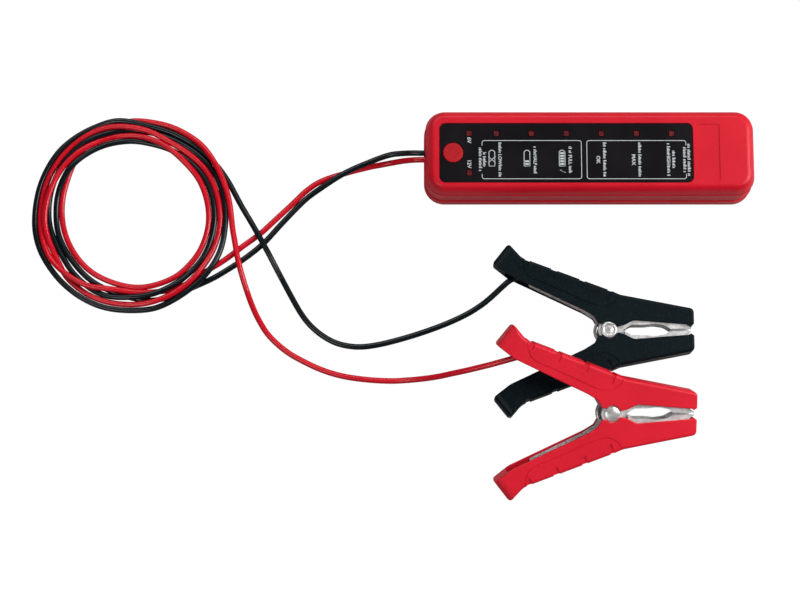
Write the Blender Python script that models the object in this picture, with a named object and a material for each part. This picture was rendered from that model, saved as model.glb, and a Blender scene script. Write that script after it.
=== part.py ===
"""Battery tester: a moulded case with a push button and eight lamps, and two leads with insulated clamps.

The frame is the tester's own: the origin is the centre of the case's underside, +X runs along the case
away from the leads, +Y across it and +Z up. Sizes below are in millimetres; MM turns them into metres.
"""

import math

import bmesh
import bpy
from mathutils import Matrix, Vector

MM = 0.001
GAP = 0.3  # room kept between two pieces that touch

# Case
CASE_LENGTH, CASE_WIDTH, CASE_HEIGHT = 146.0, 38.9, 24.0
CASE_MIDDLE = (0.0, 0.4)
CASE_CORNER = 9.0
CASE_WALL = 2.0
BASE_RIM = 7.7
TOP_INSET = 0.5  # the top shell is this much smaller than the base, all round
SHOULDER = 17.7  # where the straight side wall ends and the rounded top begins
EDGE_ACROSS, EDGE_UP = 3.8, 5.9  # the rounded top edge
LABEL_LENGTH, LABEL_WIDTH, LABEL_THICK = 111.0, 26.4, 0.45
LABEL_AT = (-10.7, -0.6)
LABEL_TOP = 23.85
PLATE_LENGTH, PLATE_WIDTH, PLATE_DEPTH = 9.6, 26.0, 0.3
PLATE_AT = (51.9, -0.6)
BOSS_AT = (66.0, 12.0)
BOSS_RADIUS = 3.0
SCREW_HEAD_ROOM, SCREW_HEAD_DEPTH = 2.5, 4.2  # the round hole under each case screw
POST_AT = (40.0, 11.0)

# Button, lamps and board
BUTTON_AT = (-60.4, -0.5)
BUTTON_RADIUS, BUTTON_TOP = 4.4, 23.95
BUTTON_TRAVEL = 0.8
FLANGE_LOW, FLANGE_HIGH = 20.7, 21.7  # the button's rim, held under the top cover
LAMP_SIDE, LAMP_TOP = 2.3, 23.75
LAMP_ROW_Y = 8.1
LAMP_FIRST_X, LAMP_PITCH, LAMP_COUNT = -41.4, 15.4, 6
SYSTEM_LAMP_X, SYSTEM_LAMP_Y = -53.3, (8.1, -9.6)
BOARD_TOP, BOARD_THICK = 17.4, 1.6
BOARD_END, BOARD_TONGUE, BOARD_SIDE, TONGUE_SIDE = 61.5, 64.5, 13.5, 8.5
PARTS_UNDER_BOARD = {  # name: (length, width), (x, y), height, finish
    "microcontroller": ((8.0, 8.0), (-20.0, 0.0), 1.6, "chip_black"),
    "voltage_regulator": ((6.5, 6.1), (8.0, 3.0), 2.3, "chip_black"),
    "load_resistor": ((12.0, 5.0), (24.0, -4.0), 3.4, "white_nylon"),
}
CAPACITOR_AT, CAPACITOR_HEIGHT = (46.0, 2.0), 6.6
DIODE_AT, DIODE_RADIUS = (-42.0, 2.0), 1.35

# Leads
LEAD_RADIUS = 1.2
LEAD_EXIT_Z = 9.5
LEAD_EXIT_Y = {"black": 2.7, "red": -0.3}
LEAD_POINT_SPACING = 7.4
BAR_AT, BAR_LENGTH, BAR_WIDTH = (-67.5, 1.2), 4.0, 14.0  # the bar that holds both leads in the case
BAR_LOW, BAR_HIGH = 8.3, 12.4
BAR_SCREW_Y = (-3.8, 6.2)
COIL_CENTRE = (-203.8, -24.1)
COIL_INNER, COIL_OUTER, COIL_HEIGHT = 30.0, 44.0, 8.0

# Clamps
CLAMP_THICK = 11.0
CLAMP_MIDDLE = CLAMP_THICK / 2
GRIP_SIDE = 1.1  # side walls of a grip
PLATE = 0.7  # sheet metal of the jaws
OUTER_PLATE, INNER_PLATE = 1.4, 2.4  # height of the lower side of each jaw's plates
RIVET_RADIUS, RIVET_HEAD, RIVET_DOME, RIVET_ROOM = 1.6, 3.5, 1.0, 3.8
EAR_RADIUS = 4.7
SPRING_RADIUS, SPRING_WIRE, SPRING_PITCH, SPRING_TURNS = 5.9, 0.65, 1.4, 2
SPRING_LEG_END = (-24.0, 21.9)
TEETH, TEETH_FROM, TEETH_TO, TOOTH_DEPTH = 8, 27.4, 35.4, 0.55
BLACK_CLAMP_AT = (8.1, -77.0, 0.0)
RED_CLAMP_AT = (7.0, -111.2, 0.08)
RED_TILT = 17.5  # degrees; its upper handle lies on the black clamp's lower handle
TILT_LINE = ((-46.7, -38.6), (34.7, -10.0))  # the red clamp's lower edge, where it meets the floor

FINISHES = {  # colour, roughness, metallic
    "red_plastic": ((0.60, 0.008, 0.025), 0.42, 0.0),
    "button_red": ((0.42, 0.008, 0.015), 0.45, 0.0),
    "label_black": ((0.012, 0.010, 0.012), 0.25, 0.0),
    "lamp_red": ((0.22, 0.008, 0.010), 0.20, 0.0),
    "black_plastic": ((0.008, 0.012, 0.014), 0.40, 0.0),
    "red_lead": ((0.58, 0.006, 0.020), 0.28, 0.0),
    "black_lead": ((0.006, 0.010, 0.012), 0.28, 0.0),
    "nickel": ((0.72, 0.71, 0.69), 0.22, 1.0),
    "steel": ((0.50, 0.50, 0.50), 0.35, 1.0),
    "board_green": ((0.02, 0.16, 0.06), 0.50, 0.0),
    "chip_black": ((0.015, 0.015, 0.016), 0.55, 0.0),
    "white_nylon": ((0.70, 0.70, 0.67), 0.55, 0.0),
    "tin": ((0.60, 0.58, 0.52), 0.35, 1.0),
}

# Clamp outlines: (x, y, corner radius), x towards the jaw tips and y away from the other half.
GRIP_OUTER = (
    (34.7, 2.3, 0.4), (35.9, 1.7, 0.4), (37.3, 2.6, 0.5), (37.4, 9.4, 2.2), (15.0, 13.8, 20.0),
    (5.2, 15.7, 4.0), (0.6, 17.7, 4.0), (-38.2, 32.3, 7.0), (-43.8, 39.0, 1.4), (-51.0, 30.6, 1.2),
    (-51.0, 29.0, 1.0), (-43.6, 24.2, 12.0), (-11.0, 8.7, 5.0), (-6.6, 6.0, 2.0), (-4.9, 3.0, 0.6),
)
GRIP_LENS = ((4.3, 1.4, 0.3), (6.8, 2.1, 2.0), (10.8, 4.2, 4.0))
GRIP_HOLLOW = (
    (34.8, -2.0, 0.0), (34.8, 7.9, 1.0), (4.2, 13.9, 4.0), (0.0, 15.9, 4.0), (-38.2, 30.2, 3.0),
    (-45.2, 31.2, 1.0), (-47.3, 20.0, 0.0), (-12.0, -2.0, 0.0),
)
JAW_BACK = (
    (36.3, 0.3, 0.2), (35.9, 1.0, 0.3), (34.4, 1.9, 0.3), (34.4, 7.55, 0.8), (4.1, 13.5, 4.0),
    (0.0, 15.5, 4.0), (-33.5, 27.4, 1.0), (-34.8, 20.8, 1.0), (-11.8, 9.6, 5.0), (-7.0, 6.4, 2.0),
)
JAW_LENS = (
    (5.6, -0.6, 0.5), (6.8, 0.4, 0.5), (9.8, 2.3, 2.0), (15.5, 2.3, 6.0), (20.0, 2.8, 4.0), (24.5, 2.1, 4.0),
)
JAW_HOLLOW = (
    (38.0, -8.0, 0.0), (38.0, 6.2, 0.0), (3.9, 12.75, 4.0), (-0.2, 14.75, 4.0), (-40.0, 28.9, 0.0),
    (-44.0, 14.0, 0.0), (-9.0, -8.0, 0.0),
)
JOGGLE_X = (7.0, 7.8)  # the lower jaw steps out here, from its ears to its front plates

# Lead routes: hand-chosen points, in the tester's frame.
BLACK_LEAD_FROM_CASE = (
    (-64.8, 2.7, 9.5), (-73.4, 2.7, 9.5), (-77.6, 2.9, 8.9), (-82.0, 3.2, 7.1), (-87.6, 3.1, 5.1),
    (-93.0, 1.6, 4.3), (-98.0, -0.4, 4.1), (-103.0, -2.5, 4.1), (-108.0, -4.9, 4.0), (-113.2, -7.9, 3.5),
    (-118.8, -11.5, 2.4), (-124.0, -15.0, 1.35), (-128.6, -19.2, 1.25), (-136.8, -28.0, 1.25),
    (-143.9, -36.0, 1.25), (-150.0, -41.3, 1.25), (-155.7, -45.5, 1.25), (-162.0, -49.6, 1.25),
    (-169.3, -53.8, 1.3),
)
RED_LEAD_FROM_CASE = (
    (-64.8, -0.3, 9.5), (-73.4, -0.3, 9.5), (-77.6, -0.2, 8.6), (-82.0, 0.1, 5.6), (-87.6, -0.1, 2.4),
    (-93.0, -0.9, 1.35), (-98.0, -1.9, 1.25), (-108.2, -4.6, 1.25), (-118.4, -8.0, 1.25),
    (-125.3, -12.4, 1.25), (-132.1, -19.0, 1.25), (-139.0, -25.6, 1.25), (-146.3, -32.4, 1.25),
    (-155.8, -39.4, 1.25), (-163.5, -45.0, 1.3),
)
BLACK_LEAD_TO_CLAMP = (
    (-160.3, -10.2, 3.4), (-158.4, -13.5, 3.0), (-156.0, -17.5, 2.7), (-153.3, -21.9, 2.8),
    (-150.3, -27.0, 3.5), (-147.1, -32.6, 3.85), (-144.5, -37.3, 3.85), (-141.6, -42.6, 3.3),
    (-138.6, -48.3, 2.0), (-135.4, -54.3, 1.3), (-132.4, -59.9, 1.25), (-127.6, -68.3, 1.25),
    (-122.8, -74.3, 1.25), (-116.6, -79.2, 1.25), (-110.3, -82.1, 1.25), (-102.6, -83.3, 1.25),
    (-94.8, -82.6, 1.25), (-85.7, -80.5, 1.25), (-74.4, -77.1, 1.25), (-63.1, -72.9, 1.25),
    (-54.0, -68.6, 1.35), (-47.2, -64.4, 2.3), (-42.4, -60.6, 3.9), (-38.4, -57.0, 5.2),
    (-35.0, -54.2, 5.5), (-31.4, -52.8, 5.5), (-27.7, -53.5, 5.5),
)
RED_LEAD_TO_CLAMP = (
    (-158.9, -30.2, 4.0), (-157.9, -34.0, 3.9), (-156.9, -38.4, 3.85), (-156.0, -43.0, 3.85),
    (-154.8, -48.0, 3.6), (-153.2, -53.6, 2.3), (-151.5, -58.8, 1.4), (-149.6, -64.0, 1.25),
    (-146.7, -70.4, 1.25), (-142.0, -77.9, 1.25), (-134.9, -84.6, 1.25), (-127.5, -89.2, 1.25),
    (-117.9, -93.7, 1.25), (-108.3, -96.5, 1.25), (-97.5, -98.0, 1.25), (-88.0, -98.5, 1.35),
    (-80.5, -98.3, 2.3), (-73.6, -98.0, 4.8), (-67.0, -97.5, 8.2), (-60.6, -96.6, 11.7), (-54.6, -95.7, 14.6),
    (-48.6, -94.6, 17.2), (-43.6, -93.6, 19.2),
)
RED_LEAD_IN_HANDLE = ((-42.6, 23.8, 5.2), (-39.4, 24.8, 5.5), (-36.2, 23.7, 5.5))  # in the clamp's own frame
CRIMP_FROM, CRIMP_TO, CRIMP_RADIUS = (-34.9, 23.1), (-29.9, 20.9), 1.5


def make_material(name, finish):
    colour, roughness, metallic = FINISHES[finish]
    material = bpy.data.materials.new(name)
    material.use_nodes = True
    shader = material.node_tree.nodes["Principled BSDF"]
    shader.inputs["Base Color"].default_value = (*colour, 1.0)
    shader.inputs["Roughness"].default_value = roughness
    shader.inputs["Metallic"].default_value = metallic
    material.diffuse_color = (*colour, 1.0)
    return material


def place(name, data, finish=None, parent=None):
    """Links a new object with its own material, or a hidden cutter where no finish is given."""
    thing = bpy.data.objects.new(name, data)
    bpy.context.scene.collection.objects.link(thing)
    thing.parent = parent
    if finish:
        data.materials.append(make_material(f"{name}_finish", finish))
    else:
        thing.hide_render = True
        thing.display_type = "WIRE"
    return thing


def finished_mesh(name, shape, smooth_angle=35.0):
    bmesh.ops.recalc_face_normals(shape, faces=shape.faces)
    mesh = bpy.data.meshes.new(name)
    shape.to_mesh(mesh)
    shape.free()
    mesh.shade_smooth()
    mesh.set_sharp_from_angle(angle=math.radians(smooth_angle))
    return mesh


def rounded(corners, steps=3):
    """The closed outline through (x, y, radius) corners, each rounded by an arc."""
    points = []
    for index, (x, y, radius) in enumerate(corners):
        here = Vector((x, y))
        before = Vector(corners[index - 1][:2]) - here
        after = Vector(corners[(index + 1) % len(corners)][:2]) - here
        turn = math.pi - before.angle(after)
        if radius <= 0 or turn < 0.02:
            points.append(here)
            continue
        half = turn / 2
        back = min(radius * math.tan(half), 0.45 * before.length, 0.45 * after.length)
        radius = back / math.tan(half)
        middle = (before.normalized() + after.normalized()).normalized()
        centre = here + middle * (radius / math.cos(half))
        start = here + before.normalized() * back - centre
        side = 1 if before.x * after.y - before.y * after.x < 0 else -1
        points += [
            centre + Matrix.Rotation(side * turn * step / steps, 2) @ start for step in range(steps + 1)
        ]
    return points


def arc(radius, first, last, steps):
    """Points on a circle about the pivot, between two angles in degrees."""
    angles = [math.radians(first + (last - first) * step / steps) for step in range(steps + 1)]
    return [Vector((radius * math.cos(angle), radius * math.sin(angle))) for angle in angles]


def mirrored(points):
    return [Vector((point.x, -point.y)) for point in points]


def prism(name, points, low, high, axis="Z"):
    """An outline drawn out from low to high. Along X, its points are (y, z)."""
    shape = bmesh.new()
    if axis == "Z":
        ring = [shape.verts.new((p[0] * MM, p[1] * MM, low * MM)) for p in points]
        along = Vector((0, 0, (high - low) * MM))
    else:
        ring = [shape.verts.new((low * MM, p[0] * MM, p[1] * MM)) for p in points]
        along = Vector(((high - low) * MM, 0, 0))
    face = shape.faces.new(ring)
    top = bmesh.ops.extrude_face_region(shape, geom=[face])["geom"]
    raised = [item for item in top if isinstance(item, bmesh.types.BMVert)]
    bmesh.ops.translate(shape, vec=along, verts=raised)
    return finished_mesh(name, shape)


def lofted(name, rings):
    """A closed body through rings of equal point counts, capped at both ends."""
    shape = bmesh.new()
    loops = [[shape.verts.new(Vector(point) * MM) for point in ring] for ring in rings]
    count = len(loops[0])
    for lower, upper in zip(loops, loops[1:]):
        for index in range(count):
            following = (index + 1) % count
            shape.faces.new((lower[index], lower[following], upper[following], upper[index]))
    shape.faces.new(loops[0])
    shape.faces.new(loops[-1])
    return finished_mesh(name, shape)


def turned(name, profile, segments=24):
    """A solid of revolution about Z. The profile's (radius, z) points run between two points on the axis."""
    angles = [2 * math.pi * step / segments for step in range(segments)]
    rings = [
        [(radius * math.cos(angle), radius * math.sin(angle), z) for angle in angles] for radius, z in profile
    ]
    return lofted(name, rings)


def rectangle(length, width, radius, centre=(0.0, 0.0), steps=4):
    x, y = length / 2, width / 2
    corners = [(x, -y, radius), (x, y, radius), (-x, y, radius), (-x, -y, radius)]
    return [point + Vector(centre) for point in rounded(corners, steps)]


def cut_with(target, cutters, operation="DIFFERENCE"):
    for cutter in cutters:
        modifier = target.modifiers.new(cutter.name, "BOOLEAN")
        modifier.operation = operation
        modifier.solver = "EXACT"
        modifier.object = cutter


def joined(name, meshes, parent=None):
    """One hidden object of several separate meshes, used as a cutter or as added material."""
    shape = bmesh.new()
    for mesh in meshes:
        shape.from_mesh(mesh)
    return place(name, finished_mesh(name, shape), None, parent)


def moved(mesh, x, y, z=0.0):
    mesh.transform(Matrix.Translation(Vector((x, y, z)) * MM))
    return mesh


def case_ring(inset, z, length=CASE_LENGTH, width=CASE_WIDTH, corner=CASE_CORNER):
    radius = max(corner - inset, 1.0)
    outline = rectangle(length - 2 * inset, width - 2 * inset, radius, CASE_MIDDLE, 6)
    return [(p.x, p.y, z) for p in outline]


def make_base_cover():
    inner = CASE_WALL
    profile = (
        (1.9, 0.0), (0.8, 0.35), (0.2, 1.0), (0.0, 1.9), (0.0, BASE_RIM), (inner, BASE_RIM),
        (inner, 3.2), (inner + 0.9, 2.0),
    )
    base = place("base_cover", lofted("base_cover", [case_ring(*ring) for ring in profile]), "red_plastic")
    boss_x, boss_y = BOSS_AT
    post_x, post_y = POST_AT
    added, bored = [], []
    for side_x in (-1, 1):
        for side_y in (-1, 1):
            boss = turned("boss", ((BOSS_RADIUS, 1.0), (BOSS_RADIUS, BASE_RIM)), 20)
            added.append(moved(boss, side_x * boss_x, side_y * boss_y))
            post = turned("post", ((1.8, 1.0), (1.8, BOARD_TOP - BOARD_THICK - GAP)), 14)
            added.append(moved(post, side_x * post_x, side_y * post_y))
            room, deep = SCREW_HEAD_ROOM, SCREW_HEAD_DEPTH
            bore = turned("bore", ((room, -1.0), (room, deep), (1.5, deep), (1.5, 9.0)), 16)
            bored.append(moved(bore, side_x * boss_x, side_y * boss_y))
    saddle = rectangle(BAR_LENGTH, BAR_WIDTH + 2 * GAP, 0.4, BAR_AT, 1)
    added.append(prism("saddle", saddle, 1.0, BAR_LOW - GAP))
    for y in BAR_SCREW_Y:
        bored.append(moved(turned("pilot", ((1.3, 3.0), (1.3, 9.0)), 12), BAR_AT[0], y))
    cut_with(base, [joined("base_bosses", added)], "UNION")
    cut_with(base, [joined("base_bores", bored)])


def make_top_cover():
    wall = CASE_WALL
    ceiling = ((4.6, 22.0), (3.3, 21.3), (2.4, 19.8), (wall, 17.4), (wall, 8.0))
    inner = [(TOP_INSET + inset, z) for inset, z in ceiling]
    outer = [(TOP_INSET, 8.0), (TOP_INSET, SHOULDER), (TOP_INSET + 0.4, SHOULDER + 0.4)]
    for step in range(1, 7):
        angle = math.radians(15 * step)
        outer.append((
            TOP_INSET + 0.4 + EDGE_ACROSS * (1 - math.cos(angle)),
            CASE_HEIGHT - EDGE_UP + EDGE_UP * math.sin(angle),
        ))
    rings = [case_ring(*ring) for ring in inner + outer]
    top = place("top_cover", lofted("top_cover", rings), "red_plastic")
    boss_x, boss_y = BOSS_AT
    bosses, holes = [], []
    for side_x in (-1, 1):
        for side_y in (-1, 1):
            boss = turned("boss", ((BOSS_RADIUS, 8.0), (BOSS_RADIUS, 22.6)), 20)
            bosses.append(moved(boss, side_x * boss_x, side_y * boss_y))
            pilot = turned("pilot", ((1.4, 6.0), (1.4, 16.0)), 12)
            holes.append(moved(pilot, side_x * boss_x, side_y * boss_y))
    pocket = rectangle(LABEL_LENGTH + 2 * GAP, LABEL_WIDTH + 2 * GAP, 2.8, LABEL_AT)
    pocket_floor = LABEL_TOP - LABEL_THICK - GAP
    pockets = [
        prism("pocket", pocket, pocket_floor, 26.0),
        prism("plate", rectangle(PLATE_LENGTH, PLATE_WIDTH, 1.2, PLATE_AT), CASE_HEIGHT - PLATE_DEPTH, 26.0),
    ]
    holes += window_cutters(20.0, pocket_floor + 1.0)
    middle = sum(LEAD_EXIT_Y.values()) / 2
    room = LEAD_RADIUS + GAP
    half = (LEAD_EXIT_Y["black"] - LEAD_EXIT_Y["red"]) / 2 + room
    high = LEAD_EXIT_Z + room
    corners = [(-half, 7.0, 0.0), (half, 7.0, 0.0), (half, high, room), (-half, high, room)]
    notch = [point + Vector((middle, 0.0)) for point in rounded(corners, 5)]
    holes.append(prism("notch", notch, -75.0, -68.0, "X"))
    cut_with(top, [joined("top_bosses", bosses)], "UNION")
    cut_with(top, [joined("top_pockets", pockets), joined("top_holes", holes)])


def lamp_places():
    places = {f"lamp_state_{n + 1}": (LAMP_FIRST_X + n * LAMP_PITCH, LAMP_ROW_Y) for n in range(LAMP_COUNT)}
    places["lamp_6_volt"] = (SYSTEM_LAMP_X, SYSTEM_LAMP_Y[0])
    places["lamp_12_volt"] = (SYSTEM_LAMP_X, SYSTEM_LAMP_Y[1])
    return places


def window_cutters(low, high):
    """The button's round hole and the lamps' square windows."""
    round_hole = turned("button_hole", ((BUTTON_RADIUS + GAP, low), (BUTTON_RADIUS + GAP, high)), 32)
    side = LAMP_SIDE + 2 * GAP
    cutters = [moved(round_hole, *BUTTON_AT)]
    for at in lamp_places().values():
        cutters.append(prism("window", rectangle(side, side, 0.3, at, 1), low, high))
    return cutters


def make_label():
    low = LABEL_TOP - LABEL_THICK
    outline = rectangle(LABEL_LENGTH, LABEL_WIDTH, 2.5, LABEL_AT)
    label = place("fascia_label", prism("fascia_label", outline, low, LABEL_TOP), "label_black")
    cut_with(label, [joined("label_windows", window_cutters(low - 1.0, LABEL_TOP + 1.0))])


def make_button():
    radius, flange = BUTTON_RADIUS, BUTTON_RADIUS + 1.2
    profile = (
        (flange - 0.3, FLANGE_LOW), (flange, FLANGE_LOW + 0.2), (flange, FLANGE_HIGH - 0.2),
        (flange - 0.2, FLANGE_HIGH), (radius, FLANGE_HIGH), (radius, BUTTON_TOP - 0.3),
        (radius - 0.3, BUTTON_TOP), (radius - 1.0, BUTTON_TOP - 0.02),
    )
    button = place("test_button", turned("test_button", profile, 32), "button_red")
    button.location = Vector((*BUTTON_AT, 0.0)) * MM
    plunger_top = FLANGE_LOW - BUTTON_TRAVEL - GAP
    body_top = plunger_top - 0.4
    body = prism("tact_switch", rectangle(6.0, 6.0, 0.5, BUTTON_AT, 1), BOARD_TOP + GAP, body_top)
    switch = place("tact_switch", body, "chip_black")
    plunger = moved(turned("plunger", ((1.5, body_top - 0.7), (1.5, plunger_top)), 16), *BUTTON_AT)
    cut_with(switch, [joined("switch_plunger", [plunger])], "UNION")


def make_board():
    end, tongue, side, narrow = BOARD_END, BOARD_TONGUE, BOARD_SIDE, TONGUE_SIDE
    outline = [
        (end, -side, 1), (end, side, 1), (-end, side, 1), (-end, narrow, 0), (-tongue, narrow, 0.5),
        (-tongue, -narrow, 0.5), (-end, -narrow, 0), (-end, -side, 1),
    ]
    board = prism("circuit_board", rounded(outline, 2), BOARD_TOP - BOARD_THICK, BOARD_TOP)
    place("circuit_board", board, "board_green")
    for name, at in lamp_places().items():
        lamp = prism(name, rectangle(LAMP_SIDE, LAMP_SIDE, 0.3, at, 1), BOARD_TOP + GAP, LAMP_TOP)
        place(name, lamp, "lamp_red")
    under = BOARD_TOP - BOARD_THICK - GAP
    for name, (size, at, height, finish) in PARTS_UNDER_BOARD.items():
        place(name, prism(name, rectangle(*size, 0.4, at, 1), under - height, under), finish)
    low = under - CAPACITOR_HEIGHT
    can = ((2.6, low), (3.15, low + 0.3), (3.15, under - 0.5), (2.8, under))
    place("capacitor", moved(turned("capacitor", can, 20), *CAPACITOR_AT), "steel")
    thick = DIODE_RADIUS
    diode = turned("protection_diode", ((1.0, -2.6), (thick, -2.3), (thick, 2.3), (1.0, 2.6)), 14)
    diode.transform(Matrix.Rotation(math.pi / 2, 4, "Y"))
    place("protection_diode", moved(diode, *DIODE_AT, under - thick - 0.15), "chip_black")


def screw(name, head_radius, shank_radius, head, length, at, pointing_up=True):
    """A screw with a plain round head, its shank along Z."""
    sign = 1 if pointing_up else -1
    head_face, neck = at[2], at[2] + sign * head
    profile = (
        (head_radius * 0.8, head_face), (head_radius, head_face + sign * head * 0.4), (head_radius, neck),
        (shank_radius, neck), (shank_radius, neck + sign * (length - shank_radius)),
        (shank_radius * 0.3, neck + sign * length),
    )
    body = place(name, turned(name, profile, 16), "steel")
    body.location = Vector((at[0], at[1], 0.0)) * MM


def make_fasteners():
    boss_x, boss_y = BOSS_AT
    corners = [(x, y) for x in (-boss_x, boss_x) for y in (-boss_y, boss_y)]
    for index, (x, y) in enumerate(corners):
        screw(f"case_screw_{index + 1}", 2.2, 1.1, 1.7, 9.0, (x, y, 2.2))
    x, middle = BAR_AT
    bar = prism("cable_clamp", rectangle(BAR_LENGTH, BAR_WIDTH, 0.4, BAR_AT, 1), BAR_LOW, BAR_HIGH)
    clamp = place("cable_clamp", bar, "white_nylon")
    room = LEAD_RADIUS + GAP
    half = (LEAD_EXIT_Y["black"] - LEAD_EXIT_Y["red"]) / 2 + room
    low, high = BAR_LOW - 1.0, LEAD_EXIT_Z + room
    corners = ((middle - half, low), (middle + half, low), (middle + half, high), (middle - half, high))
    cutters = [prism("slot", [Vector(corner) for corner in corners], x - 2.5, x + 2.5, "X")]
    for y in BAR_SCREW_Y:
        cutters.append(moved(turned("hole", ((1.3, 7.0), (1.3, 14.0)), 12), x, y))
    cut_with(clamp, [joined("clamp_cutters", cutters)])
    for index, y in enumerate(BAR_SCREW_Y):
        at = (x, y, BAR_HIGH + GAP + 1.1)
        screw(f"clamp_screw_{index + 1}", 1.8, 1.0, 1.1, 8.0, at, pointing_up=False)


def grip_outline():
    return rounded(GRIP_OUTER) + arc(RIVET_ROOM, 142, 22, 7) + rounded(GRIP_LENS + GRIP_OUTER[:1])[:-4]


def jaw_outline(upper):
    teeth = []
    pitch = (TEETH_TO - TEETH_FROM) / TEETH
    shift = 0.0 if upper else pitch / 2
    for index in range(TEETH):
        x = TEETH_FROM + shift + index * pitch
        teeth += [Vector((x, 0.2)), Vector((x + pitch / 2, 0.2 + TOOTH_DEPTH))]
    ear = arc(EAR_RADIUS, 150, 345, 14)
    lens = rounded(JAW_LENS + ((TEETH_FROM, 0.2, 0.0),))[:-1]
    return rounded(JAW_BACK) + ear + lens + teeth


def channel(name, parent, pieces, hollows, finish):
    """A solid joined from prisms of (outline, low, high), hollowed by others."""
    first, *others = [prism(name, *piece) for piece in pieces]
    body = place(name, first, finish, parent)
    if others:
        cut_with(body, [joined(f"{name}_front", others, parent)], "UNION")
    for index, hollow in enumerate(hollows):
        cut_with(body, [joined(f"{name}_{index}", [prism("hollow", *hollow)], parent)])
    return body


def clipped(points, x_from=None, x_to=None):
    """The part of an outline on one side of a line across it."""
    limit = x_from if x_from is not None else x_to
    sign = 1 if x_from is not None else -1
    kept = []
    for before, after in zip(points, points[1:] + points[:1]):
        if sign * (before.x - limit) >= 0:
            kept.append(before)
        if (before.x - limit) * (after.x - limit) < 0:
            share = (limit - before.x) / (after.x - before.x)
            kept.append(before.lerp(after, share))
    return kept


def make_grip(colour, half, parent):
    side = (lambda points: points) if half == "upper" else mirrored
    outline = side(grip_outline())
    name = f"{colour}_clamp_{half}_grip"
    hollow = (side(rounded(GRIP_HOLLOW)), GRIP_SIDE, CLAMP_THICK - GRIP_SIDE)
    grip = channel(name, parent, [(outline, 0.0, CLAMP_THICK)], [hollow], f"{colour}_plastic")
    edge = grip.modifiers.new("rounded_edges", "BEVEL")
    edge.width = 0.9 * MM
    edge.segments = 2
    edge.limit_method = "ANGLE"
    edge.angle_limit = math.radians(60)
    grip.modifiers.move(1, 0)


def make_jaw(colour, half, parent):
    upper = half == "upper"
    side = (lambda points: points) if upper else mirrored
    outline = jaw_outline(upper)
    hollow = rounded(JAW_HOLLOW)
    top = CLAMP_THICK
    name = f"{colour}_clamp_{half}_jaw"
    if upper:
        pieces = [(outline, OUTER_PLATE, top - OUTER_PLATE)]
        hollows = [(hollow, OUTER_PLATE + PLATE, top - OUTER_PLATE - PLATE)]
    else:
        front, back = JOGGLE_X
        pieces = [
            (side(clipped(outline, x_from=front)), OUTER_PLATE, top - OUTER_PLATE),
            (side(clipped(outline, x_to=back)), INNER_PLATE, top - INNER_PLATE),
        ]
        hollows = [
            (side(clipped(hollow, x_from=back)), OUTER_PLATE + PLATE, top - OUTER_PLATE - PLATE),
            (side(hollow), INNER_PLATE + PLATE, top - INNER_PLATE - PLATE),
        ]
    hole = arc(RIVET_RADIUS + GAP, 0, 337.5, 15)
    channel(name, parent, pieces, hollows + [(hole, 0.0, top)], "nickel")


def make_rivet(colour, parent):
    bottom, top = OUTER_PLATE - GAP, CLAMP_THICK - OUTER_PLATE + GAP
    angles = [math.radians(angle) for angle in (20, 45, 70)]
    dome = [(RIVET_HEAD * math.sin(angle), bottom - RIVET_DOME * math.cos(angle)) for angle in angles]
    shank = [(RIVET_HEAD, bottom), (RIVET_RADIUS, bottom), (RIVET_RADIUS, top), (RIVET_HEAD, top)]
    rolled = [(3.5, top + 0.5), (3.1, top + 0.95), (2.5, top + 0.95), (2.1, top + 0.5), (1.0, top + 0.25)]
    if colour == "red":
        rolled = [(r, CLAMP_THICK - z) for r, z in reversed(dome)]
    name = f"{colour}_clamp_rivet"
    place(name, turned(name, dome + shank + rolled, 24), "nickel", parent)


def make_spring(colour, parent):
    """A torsion spring: a leg up each handle and a coil round the rivet."""
    end = Vector(SPRING_LEG_END)
    tangent = math.atan2(end.y, end.x) - math.acos(SPRING_RADIUS / end.length)
    sweep = 2 * tangent + 2 * math.pi * SPRING_TURNS
    steps = 34
    points = [Vector((end.x, -end.y, CLAMP_MIDDLE - SPRING_PITCH * sweep / (4 * math.pi)))]
    for step in range(steps + 1):
        angle = -tangent + sweep * step / steps
        z = CLAMP_MIDDLE + SPRING_PITCH * (step / steps - 0.5) * sweep / (2 * math.pi)
        points.append(Vector((SPRING_RADIUS * math.cos(angle), SPRING_RADIUS * math.sin(angle), z)))
    points.append(Vector((end.x, end.y, points[-1].z)))
    tube(f"{colour}_clamp_spring", points, SPRING_WIRE, "steel", parent)


def tube(name, points, radius, finish, parent=None):
    curve = bpy.data.curves.new(name, "CURVE")
    curve.dimensions = "3D"
    curve.bevel_depth = radius * MM
    curve.bevel_resolution = 2
    curve.use_fill_caps = True
    spline = curve.splines.new("POLY")
    spline.points.add(len(points) - 1)
    for slot, point in zip(spline.points, points):
        slot.co = (*(Vector(point) * MM), 1.0)
    return place(name, curve, finish, parent)


def smooth_points(route, spacing):
    """Points along a smooth curve through a route, evenly spaced along it."""
    route = [Vector(point) for point in route]
    ends = [2 * route[0] - route[1]] + route + [2 * route[-1] - route[-2]]
    fine = []
    for a, b, c, d in zip(ends, ends[1:], ends[2:], ends[3:]):
        for step in range(12):
            t = step / 12
            square, cube = 2 * a - 5 * b + 4 * c - d, 3 * b - a - 3 * c + d
            fine.append(0.5 * (2 * b + (c - a) * t + square * t**2 + cube * t**3))
    fine.append(route[-1])
    lengths = [0.0]
    for before, after in zip(fine, fine[1:]):
        lengths.append(lengths[-1] + (after - before).length)
    count = max(2, round(lengths[-1] / spacing))
    points, index = [], 0
    for step in range(count + 1):
        target = lengths[-1] * step / count
        while index < len(fine) - 2 and lengths[index + 1] < target:
            index += 1
        share = (target - lengths[index]) / (lengths[index + 1] - lengths[index])
        points.append(fine[index].lerp(fine[index + 1], share))
    return points


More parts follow.
